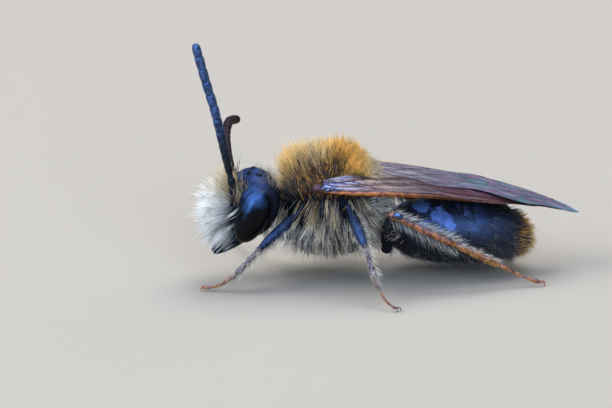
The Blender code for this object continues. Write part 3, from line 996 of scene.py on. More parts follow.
@dataclass
class Coat:
    """Hair as fine closed strands, three-sided and tapered, joined into pieces.

    Its patches read places from its origin and in its axes, and the mask thins them all.
    """

    name: str
    finish: Finish
    slot: str
    skin: Skin
    unwrap: Callable[[Array], Array]
    patches: Sequence[Patch]
    seed: int
    nodes: Sequence[str] = ()
    origin: Place = (0.0, 0.0, 0.0)
    axes: Array = field(default_factory=lambda: np.eye(3))
    mask: Union[Field, float] = 1.0
    clear_of: Callable[[Array, Array], Array] = field(default=lambda points, roots: points)
    most_triangles: int = 185000
    tile: float = 0.003
    root_depth: float = 0.02
    wave_size: float = 0.45

    def grow(self) -> None:
        """Make the coat's pieces, each under the most triangles."""
        rng = np.random.default_rng(self.seed)
        grown = [self._strands(patch, rng) for patch in self.patches]
        batches, total = [[]], 0
        for part in [part for whole in grown for part in whole.cut(self.most_triangles // 2)]:
            if batches[-1] and total + part.triangles() > self.most_triangles:
                batches.append([])
                total = 0
            batches[-1].append(part)
            total += part.triangles()
        for number, batch in enumerate(batches, 1):
            name = self.name if len(batches) == 1 else f"{self.name}_{number}"
            nodes = self.nodes if number == 1 else ()
            Bench.hand_over(self._mesh(batch), name, self.finish, self.slot, nodes, False)

    def _spots(self, points: Array, normals: Array) -> Spots:
        """Places and normals, read in the coat's own axes."""
        return Spots(points, normals, self.origin, self.axes)

    def _strands(self, patch: Patch, rng: np.random.Generator) -> Strands:
        """Grow one patch.

        Args:
            patch: The hair.
            rng: The source of chance.

        Returns:
            Its strands.
        """
        def share_at(points: Array, normals: Array) -> Array:
            """The patch's share of hair at places."""
            spots = self._spots(points, normals)
            return patch.density(spots) * read(self.mask, spots)

        roots, normals = self.skin.roots(patch.count, share_at, rng)
        spots, count, levels = self._spots(roots, normals), len(roots), patch.levels
        aimed = unit(patch.lean(spots)) + patch.ruffle * rng.normal(size=(count, 3))
        aimed = unit(aimed + 0.5 * patch.ruffle * self._waves(roots, rng))
        length = patch.length * (1 + patch.vary * np.clip(rng.normal(size=count), -2, 2))
        length = (length * read(patch.trim, spots))[:, None]
        bend = np.array(patch.bend) + 0.12 * rng.normal(size=(count, 3))
        lock = self._locks(roots, patch, rng)
        pull = self._pull(roots, length * (aimed + bend), lock, patch, rng)
        side = unit(np.cross(aimed, rng.normal(size=(count, 3))))
        other = np.cross(aimed, side)
        foot = roots - normals * self.root_depth

        def middle(share: float) -> Array:
            """The strands' middles at a share of their length."""
            grown = length * (share * aimed + share ** 2 * bend) + pull * share ** 1.6
            return self.clear_of(foot + grown, roots)

        points = []
        for share in np.arange(levels) / levels:
            centre, radius = middle(share), patch.thickness / 2 * (1.0 - 0.6 * share ** 1.5)
            for turn in (0.0, 2 * math.pi / 3, 4 * math.pi / 3):
                points.append(centre + radius * (math.cos(turn) * side + math.sin(turn) * other))
        points.append(middle(1.0))
        rise = np.append(np.repeat(np.arange(levels) / levels, 3), 1.0)
        tint = 0.45 * rng.random(count) + 0.55 * rng.random(count)[lock]
        blurred = self._spots(roots + patch.tone_blur * rng.normal(size=(count, 3)), normals)
        tone = np.clip(read(patch.tone, blurred) + 0.02 * rng.normal(size=count), 0.0, 1.0)
        marks = np.broadcast_arrays(tint[:, None], rise, tone[:, None])
        corner = np.append(np.tile([0.0, 0.5, 1.0], levels), 0.5) - 0.5
        tuft = np.stack([corner, rise - 0.5], axis=1) * self.tile * 0.9
        base = self.tile + np.clip(self.unwrap(roots), 0, 1) * (1 - 2 * self.tile)
        return Strands(np.stack(points, axis=1), np.stack(marks, axis=2), base[:, None, :] + tuft,
                       self._faces(levels))

    def _waves(self, points: Array, rng: np.random.Generator) -> Array:
        """Slow swings over the skin, so that neighbours lean together."""
        total = np.zeros_like(points)
        for _ in range(5):
            heading = unit(rng.normal(size=3)) / self.wave_size * rng.uniform(0.6, 1.8)
            phase = rng.uniform(0, 2 * math.pi, 3)
            total += np.sin((points @ heading)[:, None] * 2 * math.pi + phase)
        return total / 2.2

    @staticmethod
    def _locks(roots: Array, patch: Patch, rng: np.random.Generator) -> Array:
        """The number of the strand that leads each strand's lock."""
        heads = rng.choice(len(roots), max(2, len(roots) // patch.clump_of), replace=False)
        tree = KDTree(len(heads))
        for number, head in enumerate(heads):
            tree.insert(Vector(roots[head]), number)
        tree.balance()
        return heads[[tree.find(Vector(root))[1] for root in roots]]

    @staticmethod
    def _pull(roots: Array, reach: Array, lock: Array, patch: Patch, rng: np.random.Generator) -> Array:
        """The pull of each strand's tip towards that of its lock."""
        goal = roots[lock] + reach[lock] + 0.2 * (roots - roots[lock])
        share = patch.clump * rng.uniform(0.5, 1.2, len(roots))[:, None]
        return share * (goal - roots - reach)

    @staticmethod
    def _faces(levels: int) -> Array:
        """The triangles of one strand, its root and tip closed."""
        faces = [(0, 2, 1)]
        for low in range(0, 3 * levels - 3, 3):
            for i in range(3):
                j = (i + 1) % 3
                faces += [(low + i, low + j, low + 3 + j), (low + i, low + 3 + j, low + 3 + i)]
        last, tip = (levels - 1) * 3, levels * 3
        faces += [(last + i, last + (i + 1) % 3, tip) for i in range(3)]
        return np.array(faces)

    def _mesh(self, parts: Sequence[Strands]) -> Piece:
        """Build one mesh from strands, with its marks and its map."""
        faces, start = [], 0
        for part in parts:
            count, per = part.points.shape[:2]
            firsts = start + per * np.arange(count)
            faces.append((part.faces + firsts[:, None, None]).reshape(-1, 3))
            start += count * per
        faces = np.vstack(faces)
        points, marks, uv = (np.vstack([getattr(part, key).reshape(-1, wide) for part in parts])
                             for key, wide in (("points", 3), ("marks", 3), ("uv", 2)))
        mesh = bpy.data.meshes.new(self.name)
        mesh.vertices.add(len(points))
        mesh.vertices.foreach_set("co", points.astype(np.float32).ravel())
        mesh.loops.add(faces.size)
        mesh.loops.foreach_set("vertex_index", faces.astype(np.int32).ravel())
        mesh.polygons.add(len(faces))
        mesh.polygons.foreach_set("loop_start", np.arange(0, faces.size, 3, dtype=np.int32))
        mesh.update(calc_edges=True)
        layer = mesh.uv_layers.new(name="OFBake")
        layer.uv.foreach_set("vector", uv[faces.ravel()].astype(np.float32).ravel())
        Bench.mark(mesh, "strand", marks)
        mesh.shade_smooth()
        piece = bpy.data.objects.new(self.name, mesh)
        bpy.context.scene.collection.objects.link(piece)
        return piece


# --- head ---

@dataclass
class Head:
    """The head: its shell, eyes, ocelli, jaws and beard, in axes of face, left and crown.

    A relief on the face has its rise, its place up the face, and its half width and height.
    """

    centre: Place = (-1.8, 0.0, 2.52)
    tilt: float = math.radians(22)
    turn: float = math.radians(7)
    half_height: float = 1.11
    half_width: float = 1.31
    half_depth: float = 0.74
    rear_depth: float = 1.26
    front_square: float = 2.6
    rear_square: float = 2.2
    chin_taper: float = 0.16
    profile_power: float = 2.4
    front_power: float = 2.7
    eye_place: Place = (0.09, 1.03, -0.2)
    eye_radii: Place = (0.51, 0.375, 0.94)
    eye_splay: float = math.radians(8)
    eye_waist: float = 0.05
    shield: Relief = (0.11, -0.55, 0.46, 0.36)
    brow: Relief = (0.05, -0.02, 0.2, 0.22)
    keel: Relief = (0.025, 0.3, 0.05, 0.25)
    socket: Place = (0.7, 0.26, 0.12)
    socket_rim: tuple[float, float] = (0.115, 0.028)
    jaw_root: Place = (0.0, 0.6, -0.92)
    jaw_tip: Place = (0.58, 0.1, -1.93)
    jaw_radius: float = 0.24
    jaw_bow: float = 0.09
    jaw_profile: tuple = ((0.0, 0.8), (0.08, 1.0), (0.3, 1.0), (0.55, 0.86), (0.8, 0.7), (0.95, 0.5),
                          (1.0, 0.25))
    ocellus_radius: float = 0.1
    ocelli: tuple = ((0.43, 0.12, 0.94), (0.22, 0.42, 1.05), (0.3, -0.14, 1.06))

    def matrix(self) -> Matrix:
        """From the head's axes to the bee's."""
        face = Vector((-math.cos(self.tilt), 0, math.sin(self.tilt)))
        crown = Vector((math.sin(self.tilt), 0, math.cos(self.tilt)))
        turn = Matrix.Rotation(self.turn, 3, "Z")
        axes = Matrix((turn @ face, turn @ Vector((0, -1, 0)), turn @ crown)).transposed()
        return Matrix.Translation(Vector(self.centre)) @ axes.to_4x4()

    def build(self) -> None:
        """Make the shell, the eyes, the jaws and the coat."""
        shell = self._shell()
        jaws = [self._jaw(side) for side in Side]
        self._coat(Skin([shell] + jaws))
        Bench.hand_over(shell, "head_shell", HEAD_SHELL, "black_shell", ["head"])
        for side, jaw in zip(Side, jaws):
            Bench.hand_over(jaw, f"jaw_{side.label}", JAW_SHELL, "black_shell",
                            [f"mandible_{side.label}"])
            self._eye(side)
        self._ocelli(shell)

    def _shell(self) -> Piece:
        """The head capsule with its shield, brow and feeler sockets."""
        rings = []
        for s in spread(13):
            narrow = 1.0 - self.chin_taper * max(0.0, -s)
            rings.append(Ring(s * self.half_height, self.half_depth * swell(s, self.profile_power),
                              self.half_width * narrow * swell(s, self.front_power)))
        parts = [Bench.sculpt(Bench.loft(rings, 32, rounds=2), self._features)]
        for side in Side:
            face, left, crown = self.socket
            place = Matrix.Translation((face, left * side.value, crown))
            parts.append(Bench.place(Bench.ring(*self.socket_rim),
                                     place @ Matrix.Rotation(math.radians(90), 4, "Y")))
        return Bench.place(Bench.join(parts), self.matrix())

    def _features(self, f: Array, l: Array, c: Array) -> Shape:
        """Push the shell into the face's relief."""
        height = np.clip(np.abs(c) / self.half_height, 0, 0.98)
        deep = self.half_depth * np.sqrt(1 - height ** self.profile_power)
        narrow = 1 - self.chin_taper * np.clip(-c, 0, 1)
        wide = self.half_width * narrow * np.sqrt(1 - height ** self.front_power)
        u, v = np.abs(f / deep), np.abs(l / wide)
        power = np.where(f > 0, self.front_square, self.rear_square)
        square = (u ** 2 + v ** 2) ** 0.5 / np.maximum((u ** power + v ** power) ** (1 / power), 1e-6)
        f, l = f * square, l * square
        f = np.where(f < 0, f * self.rear_depth, f)
        front = ease(0.05, 0.4, f)
        f = f + front * sum(rise * (bump_at(l, wide) * bump_at(c - place, tall))
                            for rise, place, wide, tall in (self.shield, self.brow, self.keel))
        for side in Side:
            pit = bump_at(l - side.value * self.socket[1], 0.11) * bump_at(c - self.socket[2], 0.11)
            groove = bump_at(l - side.value * 0.66, 0.07) * bump_at(c - 0.38, 0.34)
            f = f - front * (0.07 * pit + 0.035 * groove)
        crest = ease(0.5, 1.0, c) * bump_at(l, 0.32) * bump_at(f - 0.2, 0.34)
        c = c + 0.05 * crest
        hollow = ease(-0.4, -0.9, f) * bump_at(l, 0.6) * bump_at(c, 0.7)
        f = f + 0.12 * hollow
        seat = 1.0 - 0.05 * bump_at(self._eye_gap(f, l, c) - 1.16, 0.14)
        return f * seat, l * seat, c

    def _eye_gap(self, f: Array, l: Array, c: Array) -> Array:
        """How far places are from the nearer eye's middle: 1 on the eye's surface."""
        away, up = np.abs(l) - self.eye_place[1], c - self.eye_place[2]
        cos, sin = math.cos(self.eye_splay), math.sin(self.eye_splay)
        parts = (f - self.eye_place[0], away * cos - up * sin, away * sin + up * cos)
        return np.sqrt(sum((part / radius) ** 2 for part, radius in zip(parts, self.eye_radii)))

    def _kidney(self, f: Array, l: Array, c: Array) -> Shape:
        """Draw in an eye's inner edge a little at mid height."""
        return f - self.eye_waist * ease(0.1, 0.5, f) * bump_at(c - 0.15, 0.35), l, c

    def _eye(self, side: Side) -> None:
        """One compound eye, set in the head's side."""
        f, l, c = self.eye_place
        place = Matrix.Translation((f, l * side.value, c))
        turn = Matrix.Rotation(-side.value * self.eye_splay, 4, "X")
        eye = Bench.sculpt(Bench.ball(self.eye_radii, 48, 32), self._kidney)
        Bench.place(eye, self.matrix() @ place @ turn)
        Bench.hand_over(eye, f"compound_eye_{side.label}", EYE, "eye", [f"eye_{side.label}"])

    def _ocelli(self, shell: Piece) -> None:
        """The three small simple eyes on the crown."""
        bpy.context.view_layer.update()
        domes, size = [], self.ocellus_radius
        for place in self.ocelli:
            start = FRAME.metres(self.matrix() @ Vector(place))
            _, found, normal, _ = shell.closest_point_on_mesh(start)
            spot = Vector(np.array(found) / MM - FRAME.shift) - normal * size * 0.1
            turn = normal.to_track_quat("Z", "Y").to_matrix().to_4x4()
            domes.append(Bench.place(Bench.ball((size, size, size * 0.8), 20, 12),
                                     Matrix.Translation(spot) @ turn))
        Bench.hand_over(Bench.join(domes), "ocelli", OCELLUS, "eye")

    def _jaw(self, side: Side) -> Piece:
        """One mandible: a tapered, inward-bent blade."""
        root, tip = Vector(self.jaw_root), Vector(self.jaw_tip)
        root.y, tip.y = root.y * side.value, tip.y * side.value
        length = (tip - root).length
        rings = [Ring(share * length, self.jaw_radius * size * 0.7, self.jaw_radius * size,
                      -self.jaw_bow * math.sin(math.pi * share) * side.value)
                 for share, size in self.jaw_profile]
        return Bench.place(Bench.loft(rings, 14), self.matrix() @ aim(root, tip))

    def _clear(self, spots: Spots) -> Array:
        """1 where hair may grow: clear of the eyes and the feeler sockets."""
        socket = np.hypot(spots.side - self.socket[1], spots.z - self.socket[2])
        socket = socket + np.where(spots.x > 0, 0.0, 9.0)
        return (self._eye_gap(spots.x, spots.y, spots.z) > 1.05) & (socket > 0.15)

    def _coat(self, skin: Skin) -> None:
        """The white beard, the buff brow and crown, and the fringes beside and behind the eyes.

        A place's x is towards the face, y is to the left and z is towards the crown.
        """
        beard = Patch(
            9000, 0.8,
            lambda s: ease(0.2, 0.45, s.x) * (1 - ease(-0.12, 0.12, s.z)) * (1 - ease(0.26, 0.5, s.side))
            * ease(-1.12, -0.95, s.z),
            lie(0.35, lambda s: (1.0, 0.42 * s.y, -0.2 + 1.5 * (s.z + 0.35))),
            lambda s: WHITE - 0.14 * ease(-0.3, 0.05, s.z),
            bend=(0.0, 0.0, -0.05), levels=4, clump=0.62, clump_of=14)
        brow = Patch(
            1700, 0.64,
            lambda s: ease(0.2, 0.4, s.x) * ease(-0.2, 0.0, s.z) * (1 - ease(0.35, 0.6, s.z))
            * (1 - ease(0.3, 0.5, s.y)) * (1 - ease(0.4, 0.62, -s.y)) * (1 - 0.75 * ease(0.05, 0.3, s.y)),
            lie(0.35, lambda s: (0.8, 0.4 * s.y - 0.1, 0.72)),
            lambda s: BUFF - 0.06 * ease(0.0, 0.4, s.z), clump=0.5, thickness=0.015, vary=0.45, ruffle=0.22)
        orbit = Patch(
            1500, 0.46,
            lambda s: ease(0.1, 0.3, s.x) * ease(-0.3, -0.1, s.z) * (1 - ease(0.4, 0.65, s.z))
            * ease(0.32, 0.45, s.side) * (1 - ease(0.72, 0.85, s.side)),
            lie(0.35, lambda s: (0.12, 0.3 * np.sign(s.y), 1.0)), streaked((0, 90, 40), 0.35, BUFF, SOOT),
            clump=0.5, clump_of=6, thickness=0.013, vary=0.35)
        cheek = Patch(
            520, 0.5,
            lambda s: ease(0.15, 0.35, s.x) * (1 - ease(-0.25, 0.0, s.z)) * ease(0.55, 0.68, s.side)
            * ease(-0.95, -0.75, s.z),
            lie(0.35, lambda s: (0.5, 0.1 * np.sign(s.y), -1.3)), streaked((0, 70, -50), 0.0, WHITE, SOOT),
            clump=0.75, thickness=0.014)
        crown = Patch(
            230, 0.42,
            lambda s: ease(0.75, 0.95, s.z) * ease(0.1, -0.3, s.x) * (0.3 + ease(0.2, -0.3, s.y)),
            lie(0.35, lambda s: (0.25, 0.25 * s.y, 0.9)), BUFF + 0.12, thickness=0.011, clump=0.3)
        nape = Patch(
            300, 0.4,
            lambda s: ease(-0.35, -0.55, s.x) * ease(0.35, 0.7, s.side) * (1 - ease(-0.3, 0.0, s.z)),
            lie(0.35, lambda s: (-0.35, 0.3 * np.sign(s.y), -0.85)),
            streaked((60, 0, 50), 0.1, WHITE - 0.1, SMOKE), clump=0.7, clump_of=6, thickness=0.012)
        jaw = Patch(
            380, 0.5,
            lambda s: ease(0.05, 0.15, s.x) * ease(-0.95, -1.1, s.z) * ease(-1.6, -1.4, s.z),
            lie(0.35, lambda s: (0.34, 0.02 * np.sign(s.y), -1.0)), WHITE,
            clump=0.85, clump_of=22, thickness=0.015, ruffle=0.06)
        ends = [self.matrix() @ Vector((0, 0, end * self.half_height)) for end in (-1, 1)]
        axes = np.array(self.matrix().to_3x3()).T
        Coat("face_coat", WHITE_HAIR, "white_hair", skin, round_path(ends),
             [beard, brow, orbit, cheek, crown, nape, jaw], 11, ["face_beard"], self.centre, axes,
             self._clear).grow()


# --- feelers ---

@dataclass
class Feelers:
    """Each feeler: a scape from the face, a small elbow joint and a lash of eleven beads."""

    head: Head
    courses: dict = field(default_factory=lambda: {
        Side.LEFT: ((-2.5, -0.5, 3.6), (-2.68, -0.78, 4.4), (-2.88, -1.0, 5.33), (-3.1, -1.13, 6.2),
                    (-3.32, -1.22, 6.95), (-3.68, -1.3, 8.29)),
        Side.RIGHT: ((-2.36, 0.5, 3.5), (-2.43, 1.2, 3.92), (-2.4, 2.0, 4.22), (-2.2, 3.0, 4.33),
                     (-1.86, 3.74, 4.17))})
    beads: int = 11
    bead_profile: tuple = ((0.0, 0.84), (0.08, 0.93), (0.35, 0.99), (0.7, 1.03), (0.93, 0.98))
    radius: float = 0.15
    scape_radius: float = 0.125
    scape_profile: tuple = ((0.0, 0.5), (0.06, 0.85), (0.12, 0.6), (0.2, 0.85), (0.5, 1.0), (0.85, 1.08),
                            (0.97, 0.9), (1.0, 0.6))
    elbow_radii: Place = (0.095, 0.095, 0.1)
    elbow_gap: float = 0.06
    lash_start: float = 0.025
    lash_stop: float = 0.997
    first_beads: tuple[float, float] = (0.9, 0.75)
    tip_sizes: Place = (0.92, 0.62, 0.25)

    def build(self) -> None:
        """Make both feelers."""
        for side, course in self.courses.items():
            self._scape(side, Vector(course[0]))
            self._lash(side, course)

    def _scape(self, side: Side, elbow: Vector) -> None:
        """The scape and the elbow joint."""
        f, l, c = self.head.socket
        root = self.head.matrix() @ Vector((f - self.elbow_gap, l * side.value, c))
        stop = elbow + (root - elbow).normalized() * self.elbow_gap
        scape = Bench.limb(root, stop, self.scape_radius, self.scape_profile)
        joint = Bench.ball(self.elbow_radii, 20, 12, elbow)
        Bench.hand_over(Bench.join([scape, joint]), f"feeler_{side.label}_scape", LIMB_SHELL,
                        "black_shell", [f"antenna_{side.label}_scape"])

    def _lash(self, side: Side, course: Sequence[Place]) -> None:
        """The lash, pinched between its beads and rounded at its end."""
        start = self.lash_start
        sizes = np.array(self.first_beads + (1.0,) * (self.beads - 2))
        edges = start + (1 - start) * np.concatenate([[0.0], np.cumsum(sizes)]) / sizes.sum()
        shares, radii = [], []
        for number, (low, high) in enumerate(zip(edges, edges[1:])):
            swollen = self.radius * (0.82 + 0.18 * min(1.0, number / 3))
            for share, size in self.bead_profile:
                shares.append(low + (high - low) * share)
                radii.append(swollen * size)
        shares.append(self.lash_stop)
        radii[-2:] = [self.radius * size for size in self.tip_sizes]
        lash = Bench.cords([(along_path(smooth_curve(course), shares), radii)], roundness=6)
        # The near feeler's blue is painted sky reflection; the far feeler is plain dark brown.
        finish = FEELER_SHELL if side is Side.LEFT else FAR_FEELER
        Bench.hand_over(lash, f"feeler_{side.label}_lash", finish, "black_shell",
                        [f"antenna_{side.label}_flagellum"])


# --- wings ---

class Wing(Enum):
    """The two wings of a side, with their films' lift over the roof at the right and the left."""

    FORE = (0.13, 0.11)
    HIND = (0.09, 0.06)

    @property
    def label(self) -> str:
        """The wing's word in piece and node names."""
        return self.name.lower() + "wing"


@dataclass
class Wings:
    """Four films with veins, folded in one roof. Outlines are (x, y) of the right side."""

    roof_height: float = 3.2
    roof_fall: float = 0.022
    roof_start: float = 0.4
    tail_rise: float = 0.09
    crown: float = 0.1
    shoulder: float = 0.28
    edge_drop: float = 0.06
    thickness: float = 0.014
    costa: dict = field(default_factory=lambda: {
        Wing.FORE: ((0.42, 1.42), (1.3, 1.64), (2.6, 1.62), (4.1, 1.42), (5.5, 1.22), (6.5, 1.0),
                    (7.4, 0.8), (8.1, 0.56), (8.55, 0.35), (8.8, 0.13), (8.9, -0.02)),
        Wing.HIND: ((0.9, 1.15), (2.0, 1.04), (3.2, 0.74), (4.6, 0.2), (5.6, -0.1), (6.1, -0.3))})
    margin: dict = field(default_factory=lambda: {
        Wing.FORE: ((0.42, 1.3), (0.8, 1.16), (1.5, 0.82), (2.1, 0.42), (2.55, 0.1), (3.1, -0.1),
                    (3.5, -0.24), (3.8, -0.5), (4.2, -0.68), (4.7, -0.6), (5.3, -0.46), (5.8, -0.5),
                    (6.3, -0.68), (6.7, -0.79), (7.15, -0.78), (7.5, -0.58), (8.0, -0.4), (8.5, -0.34),
                    (8.8, -0.16), (8.9, -0.04)),
        Wing.HIND: ((0.9, 1.0), (1.6, 0.7), (2.2, 0.34), (2.9, 0.0), (3.6, -0.34), (4.6, -0.56),
                    (5.5, -0.5), (6.1, -0.36))})
    left_shorter: float = 0.3
    left_tuck: float = 0.3
    left_sag: float = 0.13
    costal_bar: tuple = (0.075, ((0, 0.0), (0.08, 0), (0.2, 0), (0.35, 0), (0.5, 0), (0.57, 0)), 0.6)
    fore_veins: tuple = (
        (0.045, ((0, 0.25), (0.06, 0.1), (0.15, 0.075), (0.3, 0.07), (0.45, 0.06), (0.55, 0.04)), 0.9),
        (0.065, ((0.535, 0.04), (0.56, 0.045), (0.6, 0.05), (0.635, 0.035), (0.66, 0.015)), 0.5),
        (0.022, ((0.56, 0.0), (0.66, 0), (0.78, 0), (0.9, 0.01)), 0.4),
        (0.024, ((0.62, 0.05), (0.66, 0.13), (0.72, 0.185), (0.79, 0.185), (0.86, 0.13), (0.91, 0.03)), 0.8),
        (0.024, ((0.45, 0.09), (0.42, 0.17), (0.38, 0.28), (0.345, 0.42)), 0.9),
        (0.03, ((0.0, 0.6), (0.07, 0.36), (0.16, 0.36), (0.26, 0.39), (0.345, 0.42)), 0.8),
        (0.02, ((0.345, 0.42), (0.44, 0.47), (0.53, 0.53), (0.56, 0.63), (0.53, 0.78)), 0.6),
        (0.022, ((0.41, 0.18), (0.49, 0.2), (0.57, 0.24), (0.65, 0.3), (0.73, 0.35), (0.82, 0.38)), 0.5),
        (0.018, ((0.60, 0.06), (0.595, 0.15), (0.585, 0.24)), 0.9),
        (0.018, ((0.70, 0.18), (0.705, 0.26), (0.70, 0.33)), 0.9),
        (0.018, ((0.785, 0.185), (0.79, 0.28), (0.775, 0.365)), 0.9),
        (0.018, ((0.61, 0.27), (0.575, 0.38), (0.53, 0.53)), 0.9),
        (0.018, ((0.74, 0.355), (0.725, 0.47), (0.66, 0.6), (0.6, 0.66)), 0.7),
        (0.03, ((0.0, 0.82), (0.07, 0.66), (0.17, 0.7), (0.28, 0.8), (0.36, 0.93)), 0.7),
        (0.018, ((0.345, 0.42), (0.32, 0.56), (0.29, 0.79)), 0.9))
    hind_veins: tuple = (
        (0.026, ((0, 0.05), (0.2, 0.02), (0.45, 0.02), (0.7, 0.02), (0.9, 0.05)), 0.5),
        (0.02, ((0, 0.4), (0.15, 0.35), (0.35, 0.36), (0.55, 0.4), (0.8, 0.5)), 0.5),
        (0.018, ((0, 0.7), (0.15, 0.65), (0.35, 0.7), (0.5, 0.85)), 0.6))
    vein_steps: int = 4
    swells_from: float = 0.06
    grid: tuple[int, int] = (110, 26)
    pleats: float = 3.5
    pleat_depth: float = 0.014
    hair_below: float = 0.15
    hair_above: float = 0.2
    hair_floor: float = 0.02

    def roof(self, x: Array) -> Array:
        """Height of the roof's middle surface."""
        fall = self.roof_fall * (x - self.roof_start) ** 2
        return self.roof_height - fall + self.tail_rise * ease(4.6, 6.5, np.asarray(x, float))

    def root_rise(self, along: Array, across: Array) -> Array:
        """How much a fore wing rises over the thorax's shoulder."""
        return self.shoulder * across ** 1.3 * (1 - ease(0.1, 0.3, along))

    def edges(self, wing: Wing, x: Array) -> tuple[Array, Array]:
        """The right wing's y along its leading edge and along its hind margin."""
        found = []
        for outline in (self.costa[wing], self.margin[wing]):
            curve = smooth_curve([(*point, 0.0) for point in outline])
            order = np.maximum.accumulate(curve[:, 0])
            found.append(np.interp(x, order, curve[:, 1]))
        return found[0], found[1]

    def film(self, wing: Wing, side: Side, along: Array, across: Array) -> Array:
        """Places on a wing's film.

        Args:
            wing: Fore or hind.
            side: Left or right.
            along: Shares of the way from the root to the tip.
            across: Shares of the way from the leading edge to the hind margin.

        Returns:
            The places, one row each.
        """
        start, stop = self.costa[wing][0][0], self.costa[wing][-1][0]
        x = start + (stop - start) * along
        lead, hind = self.edges(wing, x)
        y = lead + (hind - lead) * across
        lift = wing.value[0] if side is Side.RIGHT else wing.value[1]
        outer = ease(0.45, 0.75, along)
        edge = self.edge_drop * ease(0.13, 0.0, across) * (1 - outer) * (wing is Wing.FORE)
        z = lift - edge + self.crown * (1 - outer) * np.clip(1 - (y / 1.5) ** 2, 0, 1)
        if wing is Wing.FORE:
            z = z + self.root_rise(along, across)
        pleat = self.pleat_depth * np.sin(2 * math.pi * across * self.pleats)
        z = z + pleat * ease(0.0, 0.12, along) * (1 - 0.5 * along)
        if side is Side.LEFT:
            tuck = ease(0.66, 0.8, along) * (1 - ease(0.86, 0.95, along))
            y = -(y - self.left_tuck * tuck * (1 - across))
            x = x - self.left_shorter * ease(0.5, 1.0, along)
            low = ease(0.4, 0.72, along) * (1 - ease(0.82, 0.95, along))
            z = z - self.left_sag * low * (1 - across) ** 2 * (wing is Wing.FORE)
        return np.stack([x, y, z + self.roof(x)], axis=1)

    def _cover(self, points: Array) -> tuple[Array, Array]:
        """The films' middle height over places, and whether the places lie in their outline."""
        x, y = points[:, 0], np.abs(points[:, 1])
        start, stop = self.costa[Wing.FORE][0][0], self.costa[Wing.FORE][-1][0]
        lead, hind = self.edges(Wing.FORE, x)
        across = np.clip((lead - y) / np.maximum(lead - hind, 0.05), 0, 1)
        height = self.roof(x) + self.root_rise((x - start) / (stop - start), across)
        inside = (x > start + 0.1) & (x < stop - 0.1) & (y < lead + 0.06) & (y > hind - 0.04)
        return height, inside

    def clear(self, points: Array, roots: Array) -> Array:
        """Keep hair on the side of the wings that it grows on, and off the floor."""
        x, y, z = points.T.copy()
        height, inside = self._cover(points)
        below = roots[:, 2] < self._cover(roots)[0]
        z = np.where(inside & below, np.minimum(z, height - self.hair_below), z)
        z = np.where(inside & ~below, np.maximum(z, height + self.hair_above), z)
        return np.stack([x, y, np.maximum(z, self.hair_floor)], axis=1)

    def build(self) -> None:
        """Make the four films and their veins."""
        for wing in Wing:
            for side in Side:
                self._film_piece(wing, side)
                self._veins(wing, side)

    def _film_piece(self, wing: Wing, side: Side) -> None:
        """One film: a grid laid on the roof and given its thickness."""
        Bench.clear()
        columns, rows = self.grid
        bpy.ops.mesh.primitive_grid_add(x_subdivisions=columns, y_subdivisions=rows, size=2.0)
        film = bpy.context.object
        flat = (Bench.points(film)[:, :2] + 1) / 2
        along = np.sin(flat[:, 0] * math.pi / 2) * 0.999
        Bench.sculpt(film, lambda *_: self.film(wing, side, along, flat[:, 1]).T)
        Bench.mark(film.data, "film", np.stack([along, flat[:, 1], flat[:, 1] * 0], axis=1))
        Bench.take(film)
        Bench.open()
        bpy.ops.mesh.normals_make_consistent(inside=False)
        bpy.ops.object.mode_set(mode="OBJECT")
        Bench.modify(film, "SOLIDIFY", thickness=self.thickness, offset=0.0)
        Bench.open()
        Bench.seal()
        name = f"{wing.label}_{side.label}"
        finish = RIGHT_FILM if side is Side.RIGHT else LEFT_FILM
        Bench.hand_over(film, f"{name}_film", finish, "wing", [name])

    def _bars(self, wing: Wing, side: Side, veins: Sequence[tuple]) -> Piece:
        """Bars lying on a wing's film, from their radii, courses and thinning."""
        runs = []
        for radius, course, thin in veins:
            curve = smooth_curve([(along, across, 0.0) for along, across in course], self.vein_steps)
            path = self.film(wing, side, np.clip(curve[:, 0], 0, 0.995), np.clip(curve[:, 1], 0, 1))
            share = np.linspace(0, 1, len(path))
            swollen = radius > self.swells_from
            profile = 0.35 + 0.65 * np.sin(math.pi * share) if swollen else 1 + (thin - 1) * share
            runs.append((path, radius * profile))
        return Bench.cords(runs, roundness=3)

    def _veins(self, wing: Wing, side: Side) -> None:
        """One wing's veins, and the fore wing's amber leading bar."""
        name = f"{wing.label}_{side.label}"
        veins = self.fore_veins if wing is Wing.FORE else self.hind_veins
        Bench.hand_over(self._bars(wing, side, veins), f"{name}_veins", VEIN, "brown_shell", [name])
        if wing is Wing.FORE:
            bar = self._bars(wing, side, [self.costal_bar])
            Bench.hand_over(bar, f"{name}_bar", AMBER_VEIN, "brown_shell", [name])


# --- thorax ---

